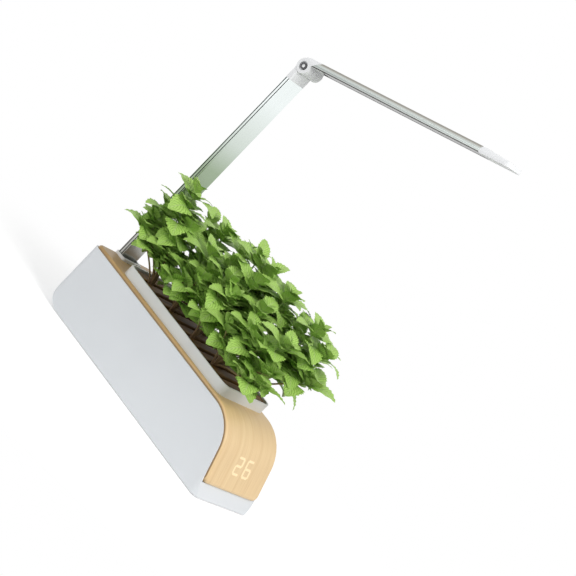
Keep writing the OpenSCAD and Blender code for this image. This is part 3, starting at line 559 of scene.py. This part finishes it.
def bar_glow(tree, across, up, centre, half, core, soft):
    gaps = []
    for value, middle, reach in ((across, centre[0], half[0]), (up, centre[1], half[1])):
        off = arithmetic(tree, "ABSOLUTE", arithmetic(tree, "SUBTRACT", value, middle))
        gaps.append(arithmetic(tree, "MAXIMUM", arithmetic(tree, "SUBTRACT", off, reach)))
    both = add(tree, "ShaderNodeCombineXYZ", {"X": gaps[0], "Y": gaps[1]}).outputs[0]
    distance = vector_value(tree, "LENGTH", both)
    return remap(tree, distance, core, soft, 1.0, 0.0, smooth=True)


def light_figures(tree):
    place = coordinates(tree)
    from_toe = add(tree, "ShaderNodeVectorMath", {0: place, 1: TOE}, operation="SUBTRACT")
    up = vector_value(tree, "DOT_PRODUCT", from_toe.outputs[0], UP_SLOPE)
    across = axes_of(tree, place)["Y"]
    glow = None
    for figure, middle in (("2", -FIGURE_PITCH / 2), ("6", FIGURE_PITCH / 2)):
        for letter in BARS_LIT[figure]:
            (side, rise), half = BARS[letter]
            centre = (middle + side, FIGURE_MIDDLE + rise)
            bar = bar_glow(tree, across, up, centre, half, BAR_CORE, BAR_SOFT)
            glow = bar if glow is None else arithmetic(tree, "MAXIMUM", glow, bar)
    return glow


shine = light_figures(maple_tree)
warm = blend_colours(maple_tree, shine, (0.0, 0.0, 0.0), GLOW)
maple_tree.links.new(warm, maple_shader.inputs["Emission Color"])
maple_shader.inputs["Emission Strength"].default_value = 1.0
print("lit bars", sum(len(bars) for bars in BARS_LIT.values()))

# %% [markdown]
# ## A mint leaf
# A mint leaf is a blade that is folded a little along its midrib, arches towards its tip,
# and has a row of small teeth along each margin that point forwards. It could be a flat
# card with a picture of a leaf, but a card looks wrong as soon as it turns edge-on. So
# each leaf is a real curved sheet. Every second row of its margin stands out as a tooth,
# and a map from stalk to tip and from side to side is kept for the veins.

# %% One leaf as a sheet
LARGE_ROWS, SMALL_ROWS = 18, 10
LARGE_COLUMNS = np.array((-1.0, -0.66, -0.33, 0.0, 0.33, 0.66, 1.0))
SMALL_COLUMNS = np.array((-1.0, -0.5, 0.0, 0.5, 1.0))
STALK_SHARE = 0.10
LARGE_FROM = 0.020
OUTLINE_PEAK = 2.377
NOTCH_SHARE = 0.86
TOOTH_FORWARD = 0.022
RIM_DROP = 0.55
RIPPLE_WAVES = 3.2
TIP_POWER, ARCH_POWER = 0.8, 1.3
LEAST_HALF, TIP_FROM = 0.0005, 0.97


def leaf_sheet(length, width, fold, arch, ripple, phase):
    large = length > LARGE_FROM
    rows = LARGE_ROWS if large else SMALL_ROWS
    columns = LARGE_COLUMNS if large else SMALL_COLUMNS
    t = np.linspace(0, 1, rows + 1)
    blade = np.clip((t - STALK_SHARE) / (1 - STALK_SHARE), 0, 1)
    half = OUTLINE_PEAK * width / 2 * np.sqrt(blade) * (1 - blade) ** TIP_POWER
    tooth = np.arange(rows + 1) % 2 == 1
    least = LEAST_HALF * (t < TIP_FROM)
    half = np.maximum(half * np.where(tooth, 1.0, NOTCH_SHARE), least)
    angle = -arch * blade**ARCH_POWER
    step = length / rows
    along = np.concatenate(([0], np.cumsum(np.cos(angle[1:]) * step)))
    rise = np.concatenate(([0], np.cumsum(np.sin(angle[1:]) * step)))
    side = half[:, None] * columns[None, :]
    edge = np.abs(columns)[None, :]
    on_blade = tooth[:, None] * (blade > 0)[:, None]
    forward = along[:, None] + length * TOOTH_FORWARD * edge**2 * on_blade
    lift = np.abs(side) * math.tan(fold) - RIM_DROP * half[:, None] * edge**3 * math.tan(fold)
    wave = ripple * length * edge**2 * np.sin(2 * math.pi * RIPPLE_WAVES * t + phase)[:, None]
    up = rise[:, None] + lift + wave * (half / (width / 2))[:, None]
    points = np.stack((forward + 0 * side, side, up), axis=-1)
    across = (columns + 1) / 2
    maps = np.stack(np.meshgrid(t, across, indexing="ij"), axis=-1)
    return points.reshape(-1, 3), maps.reshape(-1, 2), rows, len(columns)


def grid_faces(rows, columns, first):
    corner = np.arange(rows * columns).reshape(rows, columns)[:, :-1] + first
    corner = corner.reshape(-1)
    return np.stack((corner, corner + columns, corner + columns + 1, corner + 1), axis=-1)


print("a large leaf has", (LARGE_ROWS + 1) * len(LARGE_COLUMNS), "corners")

# %% [markdown]
# ## A mint plant
# Mint grows in square stems. Pairs of leaves stand opposite each other, each pair turned
# by a right angle from the pair below. They are small and upright at the tip, large and
# level a little lower, and the lower stem is bare and brown. Stems could be scattered at
# random, but then the crown's outline would be random too. So each stem is written as one
# row: its lean along and across the planter in millimetres, its share of the full height,
# and the turn of its leaves in degrees. Chance only adds what differs from leaf to leaf:
# size, fold, arch and tilt. A leaf that would leave the CAD part's box by more than a
# spare two millimetres is made shorter. One that would still leave it, or would meet the
# lamp, is left out.

# %% Build a plant from its stems
chance = np.random.default_rng(26)
LARGE_LEAF = 0.042
HERB_HIGH = 0.142
KNEE_Z = 0.1133
FOOT_Z = 0.0995
FOOT_STEP = 0.0034
ELBOW_SHARE = 0.4
CLEAR_OF_DECK = 0.1143
CLEAR_OF_COVER = 0.106
ROOM_SPARE = 0.002
SHORTER_TRIES = 3
TRAY_END_X, TRAY_SIDE_Y = 0.103, 0.062
CHORD_DROP = math.radians(28)
# Each pair: metres below the tip, share of the largest leaf, rise in degrees.
LEAF_PAIRS = (
    (-0.001, 0.22, 84), (0.001, 0.46, 76), (0.005, 0.76, 58), (0.013, 1.0, 38),
    (0.027, 1.05, 20), (0.044, 0.92, 6), (0.063, 0.8, -4),
)
BARE_BELOW = (0, 0, 0, 0, 0, 0.012, 0.034)
SHOOT_PAIRS = (3, 4, 5)
LAMP_Y, LAMP_REACH_Y = -0.004, 0.0215
LAMP_FACE_X, LAMP_PIVOT_Z, LAMP_LEAN = -0.1635, 0.0453, 0.18
# Each range for chance: the least value, and how much it may add.
LEAF_WIDTH, LEAF_FOLD, LEAF_ARCH = (0.68, 0.10), (0.10, 0.18), (0.85, 0.65)
LEAF_SIZE, SHOOT_SIZE, SHOOT_RISE = (0.90, 0.20), (0.40, 0.35), (0.8, 0.4)
LEAF_RIPPLE, RIPPLE_TURN, LEAF_ROLL = 0.014, 6.28, 0.5
SHORTER = 0.85
TONE_START, TONE_STEP, TONE_SPREAD = 0.02, 0.13, 0.25
WAY_SWING, RISE_SWING = 0.35, 0.3
SHOOT_TONE, SHOOTS_ABOVE = 0.2, 0.012
SHOOT_SPREAD, SHOOT_SWING = (-0.5, 0.5), 0.5
CORNER_CUTS, CUT_SHARE = 3, 0.25
STEM_THICK, STEM_THIN = 0.0015, 0.0009
STEM_CORNERS = ((1, 0.2), (0.2, 1), (-1, -0.2), (-0.2, -1), (1, 0.2))


def drawn(low, spread):
    return low + spread * chance.random()


def swing(width):
    return width * (chance.random() - 0.5)


class Growth:
    def __init__(self):
        self.points, self.maps, self.tones, self.faces, self.kinds = [], [], [], [], []
        self.count = 0

    def take(self, points, maps, tone, faces, kind):
        self.points.append(points)
        self.maps.append(maps)
        self.tones.append(np.full(len(points), tone))
        self.faces.append(faces + self.count)
        self.kinds.append(np.full(len(faces), kind))
        self.count += len(points)


def meets_lamp(points):
    near = np.abs(points[:, 1] - LAMP_Y) < LAMP_REACH_Y
    face = LAMP_FACE_X + (points[:, 2] - LAMP_PIVOT_Z) * LAMP_LEAN
    return bool(np.any(near & (points[:, 0] < face)))


def inside_room(points):
    low, high = (np.array(corner) for corner in cad_box)
    return bool(np.all(points > low - ROOM_SPARE) and np.all(points < high + ROOM_SPARE))


def add_leaf(plant, base, heading, rise, length, tone):
    width = length * drawn(*LEAF_WIDTH)
    fold = drawn(*LEAF_FOLD)
    arch = drawn(*LEAF_ARCH)
    phase = RIPPLE_TURN * chance.random()
    sheet, maps, rows, columns = leaf_sheet(length, width, fold, arch, LEAF_RIPPLE, phase)
    roll = Matrix.Rotation(swing(LEAF_ROLL), 3, "X")
    turn = Matrix.Rotation(heading, 3, "Z") @ Matrix.Rotation(-rise, 3, "Y") @ roll
    turned = sheet @ np.array(turn).T
    placed = turned + base
    for _ in range(SHORTER_TRIES):
        if inside_room(placed):
            break
        turned = turned * SHORTER
        placed = turned + base
    if meets_lamp(placed) or not inside_room(placed):
        return
    over_tray = (placed[:, 0] < TRAY_END_X) & (np.abs(placed[:, 1]) < TRAY_SIDE_Y)
    floor = np.where(over_tray, CLEAR_OF_DECK, CLEAR_OF_COVER)
    placed[:, 2] = np.maximum(placed[:, 2], floor)
    plant.take(placed, maps, tone, grid_faces(rows, columns, 0), 0)


def stem_line(foot, lean, high):
    knee = np.array((foot[0], foot[1], KNEE_Z))
    elbow = knee + (ELBOW_SHARE * lean[0], ELBOW_SHARE * lean[1], high / 2)
    tip = knee + (lean[0], lean[1], high)
    line = np.array((foot, knee, elbow, tip))
    for _ in range(CORNER_CUTS):
        near = (1 - CUT_SHARE) * line[:-1] + CUT_SHARE * line[1:]
        far = CUT_SHARE * line[:-1] + (1 - CUT_SHARE) * line[1:]
        between = np.stack((near, far), axis=1).reshape(-1, 3)
        line = np.concatenate((line[:1], between, line[-1:]))
    return line


def add_stem(plant, line, thick, thin):
    count = len(line)
    tangent = np.gradient(line, axis=0)
    tangent /= np.linalg.norm(tangent, axis=1)[:, None]
    side = np.cross(tangent, (0.0, 1.0, 0.0))
    side /= np.linalg.norm(side, axis=1)[:, None]
    other = np.cross(tangent, side)
    radius = np.linspace(thick, thin, count)[:, None]
    rings = [line + radius * (a * side + b * other) for a, b in STEM_CORNERS]
    points = np.stack(rings, axis=1).reshape(-1, 3)
    faces = grid_faces(count - 1, len(STEM_CORNERS), 0)
    plant.take(points, np.zeros((len(points), 2)), 0.5, faces, 1)


def grow_shoots(plant, base, heading):
    for way in (math.pi / 2, 3 * math.pi / 2):
        for spread in SHOOT_SPREAD:
            length = LARGE_LEAF * drawn(*SHOOT_SIZE)
            bearing = heading + way + spread + swing(SHOOT_SWING)
            add_leaf(plant, base, bearing, drawn(*SHOOT_RISE), length, SHOOT_TONE)


def grow(plant, foot, lean, share, turn):
    line = stem_line(np.array(foot, float), np.array(lean) / 1000, HERB_HIGH * share)
    add_stem(plant, line, STEM_THICK, STEM_THIN)
    steps = np.linalg.norm(np.diff(line, axis=0), axis=1)
    walked = np.concatenate(([0], np.cumsum(steps)))
    for pair, (down, size, rise_deg) in enumerate(LEAF_PAIRS):
        at = walked[-1] - down
        base = np.array([np.interp(at, walked, line[:, axis]) for axis in range(3)])
        rise = math.radians(rise_deg)
        heading = math.radians(turn + 90 * (pair - 1))
        clear = CLEAR_OF_DECK + BARE_BELOW[pair]
        for way in (0.0, math.pi):
            length = LARGE_LEAF * size * drawn(*LEAF_SIZE)
            tone = min(1.0, drawn(TONE_START + TONE_STEP * pair, TONE_SPREAD))
            bearing = way + (heading + swing(WAY_SWING))
            tilt = rise + swing(RISE_SWING)
            if base[2] + length * math.sin(rise - CHORD_DROP) > clear:
                add_leaf(plant, base, bearing, tilt, length, tone)
        if pair in SHOOT_PAIRS and base[2] > CLEAR_OF_DECK + SHOOTS_ABOVE:
            grow_shoots(plant, base, heading)


print("leaf pairs on a stem", len(LEAF_PAIRS), "and shoots at", len(SHOOT_PAIRS), "of them")

# %% [markdown]
# ## Where the stems stand
# The taller stems are the rows that the CAD plants have too, so both crowns stand on the
# same stems. Denser leaves on those could have closed the gaps between them, but the
# crown's lower edge is dense in the picture as well. So low stems are added, which are
# only here: they lean out low, mostly towards the front.

# %% The rows of the eight plants
GAP_X = [-0.1007 + 0.025 * gap for gap in range(8)]
ROW_Y = [-0.027 if gap % 2 == 0 else 0.027 for gap in range(8)]
HERB_STEMS = (
    ((-51, -29, 0.31, 27), (-53, -15, 0.55, 71), (-11, -9, 0.58, 12), (3, -29, 0.31, 57)),
    ((-73, 10, 0.66, 44), (-38, 4, 0.7, 75), (5, 4, 0.75, 19)),
    ((-15, -3, 0.58, 63), (13, -25, 0.4, 17), (11, 11, 0.66, 37)),
    ((-16, -5, 0.82, 51), (12, -11, 0.82, 8), (1, 25, 0.61, 74)),
    ((-14, -12, 0.58, 34), (13, -20, 0.52, 79), (5, 8, 0.72, 21)),
    ((10, -13, 0.82, 64), (-12, 10, 0.73, 19), (8, 24, 0.58, 51)),
    (
        (-4, -28, 0.36, 62), (-6, 5, 0.63, 31), (34, -21, 0.43, 12), (65, -13, 0.59, 49),
        (79, -27, 0.33, 76),
    ),
    ((-8, 3, 0.72, 32), (26, -17, 0.83, 77), (50, -3, 0.71, 16), (18, 25, 0.58, 52)),
)
LOW_STEMS = (
    (
        (-40, -17, 0.70, 30), (-28, -8, 0.60, 50), (-58, -22, 0.42, 15), (-6, -20, 0.34, 80),
        (-20, -25, 0.24, 65), (-36, -20, 0.86, 5),
    ),
    ((-24, -12, 0.52, 20), (-60, 6, 0.5, 60), (-8, -16, 0.42, 35)),
    ((-10, -20, 0.34, 40), (8, -8, 0.48, 70), (-2, -24, 0.26, 10), (-16, -25, 0.20, 75)),
    ((-9, -14, 0.46, 30), (12, 8, 0.56, 5), (2, -22, 0.38, 60)),
    ((-9, -22, 0.32, 55), (9, -12, 0.46, 25), (1, -25, 0.24, 85)),
    ((-9, -16, 0.50, 15), (14, -4, 0.62, 75), (3, -22, 0.40, 45)),
    (
        (-10, -22, 0.34, 20), (16, -14, 0.46, 70), (88, -28, 0.20, 30), (70, -32, 0.17, 80),
        (50, -24, 0.44, 10),
    ),
    ((-10, -14, 0.48, 50), (14, -18, 0.42, 5), (38, -10, 0.50, 65), (62, 6, 0.46, 30)),
)


def plant_object(number, stems):
    plant = Growth()
    row = ROW_Y[number]
    first = row - FOOT_STEP * (len(stems) - 1) / 2
    for order, (along, across, share, turn) in enumerate(stems):
        foot = (GAP_X[number], first + FOOT_STEP * order, FOOT_Z)
        grow(plant, foot, (along, across), share, turn)
    for along, across, share, turn in LOW_STEMS[number]:
        foot = (GAP_X[number], row + swing(FOOT_STEP), FOOT_Z)
        grow(plant, foot, (along, across), share, turn)
    mesh = bpy.data.meshes.new(f"mint_plant_{number + 1}")
    faces = np.concatenate(plant.faces)
    mesh.from_pydata(np.concatenate(plant.points).tolist(), [], faces.tolist())
    mesh.polygons.foreach_set("material_index", np.concatenate(plant.kinds).astype(np.int32))
    mesh.polygons.foreach_set("use_smooth", np.ones(len(faces), bool))
    corners = mesh.uv_layers.new(name="leaf_map")
    corners.data.foreach_set("uv", np.concatenate(plant.maps)[faces.reshape(-1)].reshape(-1))
    tone = mesh.attributes.new("tone", "FLOAT", "POINT")
    tone.data.foreach_set("value", np.concatenate(plant.tones))
    mesh.update()
    return in_scene(mesh.name, mesh)


tall, low = (sum(len(stems) for stems in rows) for rows in (HERB_STEMS, LOW_STEMS))
print("stems", tall, "tall and", low, "low")

# %% [markdown]
# ## The leaf's surface
# A mint leaf is quilted: it bulges between its side veins and sinks along them. The veins
# leave the midrib at a slant, so their pattern follows the leaf's own map and not the
# room. The sunken veins and a fine net of creases are painted darker as shade, and the
# bulges a touch lighter as painted light. Young leaves at the tips are yellow-green, those
# lower down are a little deeper, and each leaf carries its own tone for that. The stems
# are brown at the foot and green above.

# %% Leaf and stem materials
VEIN_SLANT, VEIN_COUNT, VEIN_EDGE = 0.36, 9.0, 0.28
# The fine net's creases are painted darker as shade.
NET_SCALE, NET_EDGE, NET_CREASE_PAINTED_SHADE = 26.0, 0.16, 0.7
MIDRIB_FROM, MIDRIB_TO, MIDRIB_SHARE = 0.03, 0.10, 0.6
LEAF_BUMP = 0.0007
BROWN_Z, GREEN_Z = 0.11, 0.20
LEAF_TONES = ((0.0, (0.43, 0.645, 0.17)), (0.45, (0.43, 0.67, 0.15)), (1.0, (0.37, 0.61, 0.115)))
# Painted shade in the sunken veins, and a touch of painted light on the bulges.
VEIN_GROOVE_PAINTED_SHADE = ((0.0, (0.62, 0.69, 0.48)), (1.0, (1.05, 1.04, 1.05)))
MIDRIB_TONE = (0.42, 0.55, 0.22)
BROWN_TO_GREEN = ((0.15, (0.20, 0.115, 0.06)), (0.6, (0.30, 0.24, 0.10)), (1.0, (0.27, 0.40, 0.12)))


def leaf_material():
    material, tree, shader = start_material("mint_leaf", 0.46, specular=0.35)
    leaf_map = add(tree, "ShaderNodeUVMap", uv_map="leaf_map").outputs["UV"]
    parts = axes_of(tree, leaf_map)
    off_midrib = arithmetic(tree, "ABSOLUTE", arithmetic(tree, "SUBTRACT", parts["Y"], 0.5))
    out = arithmetic(tree, "MULTIPLY", off_midrib, 2.0)
    slope = arithmetic(tree, "MULTIPLY", out, VEIN_SLANT)
    slanted = arithmetic(tree, "SUBTRACT", parts["X"], slope)
    veins = arithmetic(tree, "MULTIPLY", slanted, VEIN_COUNT)
    quilt = remap(tree, arithmetic(tree, "PINGPONG", veins, 0.5), 0.0, VEIN_EDGE, smooth=True)
    inputs = {"Vector": leaf_map, "Scale": NET_SCALE}
    cells = add(tree, "ShaderNodeTexVoronoi", inputs, feature="DISTANCE_TO_EDGE")
    net = remap(tree, cells.outputs["Distance"], 0.0, NET_EDGE, NET_CREASE_PAINTED_SHADE, 1.0)
    tone = add(tree, "ShaderNodeAttribute", attribute_name="tone").outputs["Fac"]
    green = ramp(tree, tone, LEAF_TONES, smooth=False)
    # Painted shade in the vein grooves, a touch of painted light on the bulges.
    green = blend_colours(tree, 1.0, green, ramp(tree, quilt, VEIN_GROOVE_PAINTED_SHADE), "MULTIPLY")
    # Painted shade in the fine creases.
    green = blend_colours(tree, 0.5, green, net, "MULTIPLY")
    midrib = remap(tree, out, MIDRIB_FROM, MIDRIB_TO, MIDRIB_SHARE, 0.0)
    green = blend_colours(tree, midrib, green, MIDRIB_TONE)
    tree.links.new(green, shader.inputs["Base Color"])
    height = arithmetic(tree, "ADD", quilt, arithmetic(tree, "MULTIPLY", net, 0.6))
    put_bump(tree, shader, height, LEAF_BUMP, 0.55)
    return material


def stem_material():
    material, tree, shader = start_material("mint_stem", 0.5, specular=0.3)
    rise = remap(tree, axes_of(tree, coordinates(tree))["Z"], BROWN_Z, GREEN_Z)
    wander = noise(tree, 90.0, stretched(tree, (1, 1, 0.3)), detail=3.0)
    mixed = arithmetic(tree, "ADD", rise, arithmetic(tree, "MULTIPLY", wander, 0.4))
    tree.links.new(ramp(tree, mixed, BROWN_TO_GREEN), shader.inputs["Base Color"])
    put_bump(tree, shader, wander, 0.0002, 0.4)
    return material


leaf_green, stem_green = leaf_material(), stem_material()
print("materials", leaf_green.name, "and", stem_green.name)

# %% Grow the eight plants
for number, stems in enumerate(HERB_STEMS):
    piece = plant_object(number, stems)
    piece.data.materials.append(leaf_green)
    piece.data.materials.append(stem_green)
    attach(piece, "tray")
    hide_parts(f"mint_{number + 1}")
    print(piece.name, len(piece.data.polygons), "faces")

# %% [markdown]
# ## Grow sponges
# Each plant stands in a plug of open-cell foam. A plain cylinder would look machined, so
# the plug is turned from a profile with a soft top edge and a hollow where the seed went.
# Chance pushes its skin in a little, and never out of the room that it has.

# %% Foam plugs
PLUG_RADIUS = 0.010
PLUG_SIDES = 28
PLUG_ROUGH = 0.03
FOAM = ("grow_foam", (0.26, 0.18, 0.11), (0.12, 0.08, 0.05), 1100, 0.95, 0.0006, 0.1)


def plug_profile(low, high):
    drop = high - low
    return (
        (0.0, low), (0.7, low), (0.96, low + 0.05 * drop), (0.98, low + 0.3 * drop),
        (0.97, low + 0.6 * drop), (0.98, low + 0.88 * drop), (0.93, low + 0.96 * drop),
        (0.8, high), (0.35, high - 0.0004), (0.2, high - 0.004), (0.0, high - 0.006),
    )


def foam_plugs():
    (_, _, low), (_, _, high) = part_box("grow_sponges")
    profile = plug_profile(low, high)
    points, faces = [], []
    for x, y in zip(GAP_X, ROW_Y):
        first = len(points)
        for share, z in profile:
            for side in range(PLUG_SIDES):
                angle = 2 * math.pi * side / PLUG_SIDES
                rough = 1 - PLUG_ROUGH * chance.random()
                reach = PLUG_RADIUS * share * rough
                points.append((x + reach * math.cos(angle), y + reach * math.sin(angle), z))
        for ring in range(len(profile) - 1):
            for side in range(PLUG_SIDES):
                a = first + ring * PLUG_SIDES + side
                b = first + ring * PLUG_SIDES + (side + 1) % PLUG_SIDES
                faces.append((a, b, b + PLUG_SIDES, a + PLUG_SIDES))
    mesh = bpy.data.meshes.new("foam_plugs")
    mesh.from_pydata(points, [], faces)
    mesh.polygons.foreach_set("use_smooth", np.ones(len(faces), bool))
    mesh.update()
    return in_scene("foam_plugs", mesh)


plugs = foam_plugs()
plugs.data.materials.append(speckled(*FOAM))
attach(plugs, "tray")
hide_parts("grow_sponges")
print("foam plugs", len(plugs.data.polygons), "faces")

# %% [markdown]
# ## Floor, background and light
# The picture's background is plain white. Near the planter the floor is a pale matte
# surface that takes its shadow, and further out it fades to plain white, so no edge
# shows. White metal and glossy plastic mirror the same white. Scattered light meets a
# dimmer room, so the shadows keep their depth. The light is soft and comes mostly from
# the waterfall end and from above.

# %% Stage
FLOOR_REACH = 6.0
FLOOR_Z = -0.0001
FADE_FROM, FADE_TO = 0.19, 0.50
FAR_FLOOR = 0.5
NEAR_LIFT = 0.36
AMBIENT = 0.62
LIGHTS = (
    ("key_light", (1.5, -0.5, 1.5), 1.0, 22),
    ("front_light", (-0.6, -1.9, 0.9), 1.2, 9),
)
LIGHTS_AIM = Vector((0, 0, 0.15))


def seen_directly_or_mirrored(tree):
    path = add(tree, "ShaderNodeLightPath").outputs
    first = arithmetic(tree, "MAXIMUM", path["Is Camera Ray"], path["Is Glossy Ray"])
    return arithmetic(tree, "MAXIMUM", first, path["Is Transmission Ray"])


def floor_material():
    material = bpy.data.materials.new("pale_floor")
    material.use_nodes = True
    tree = material.node_tree
    tree.nodes.clear()
    far = vector_value(tree, "LENGTH", coordinates(tree))
    fade = remap(tree, far, FADE_FROM, FADE_TO, smooth=True)
    grain = noise(tree, 60.0, stretched(tree), detail=2.0)
    pale = ramp(tree, grain, ((0.3, (0.78, 0.78, 0.78)), (0.7, (0.80, 0.80, 0.80))))
    matte = add(tree, "ShaderNodeBsdfDiffuse", {"Color": pale}).outputs[0]
    seen = seen_directly_or_mirrored(tree)
    strength = arithmetic(tree, "MULTIPLY", seen, NEAR_LIFT)
    lift = add(tree, "ShaderNodeEmission", {"Strength": strength}).outputs[0]
    near = add(tree, "ShaderNodeAddShader", {0: matte, 1: lift}).outputs[0]
    level = remap(tree, seen, 0.0, 1.0, FAR_FLOOR, 1.0)
    white = add(tree, "ShaderNodeEmission", {"Strength": level}).outputs[0]
    both = add(tree, "ShaderNodeMixShader", {0: fade, 1: near, 2: white}).outputs[0]
    add(tree, "ShaderNodeOutputMaterial", {"Surface": both})
    return material


def make_floor():
    mesh = bpy.data.meshes.new("floor")
    square = ((-1, -1), (1, -1), (1, 1), (-1, 1))
    corners = [(x * FLOOR_REACH, y * FLOOR_REACH, FLOOR_Z) for x, y in square]
    mesh.from_pydata(corners, [], [(0, 1, 2, 3)])
    mesh.materials.append(floor_material())
    in_scene("floor", mesh)


def make_world(ambient):
    world = bpy.data.worlds.new("white_studio")
    world.use_nodes = True
    tree = world.node_tree
    seen = seen_directly_or_mirrored(tree)
    background = tree.nodes["Background"]
    background.inputs["Color"].default_value = (1, 1, 1, 1)
    strength = remap(tree, seen, 0.0, 1.0, ambient, 1.0)
    tree.links.new(strength, background.inputs["Strength"])
    bpy.context.scene.world = world


def soft_lamp(name, place, size, watts):
    data = bpy.data.lights.new(name, "AREA")
    data.shape = "DISK"
    data.size = size
    data.energy = watts
    lamp = in_scene(name, data)
    lamp.location = place
    lamp.rotation_euler = (LIGHTS_AIM - Vector(place)).to_track_quat("-Z", "Y").to_euler()


make_floor()
make_world(AMBIENT)
for light in LIGHTS:
    soft_lamp(*light)
bpy.context.scene.view_settings.view_transform = "Standard"
print("stage with a floor, a white world and", len(LIGHTS), "lights")
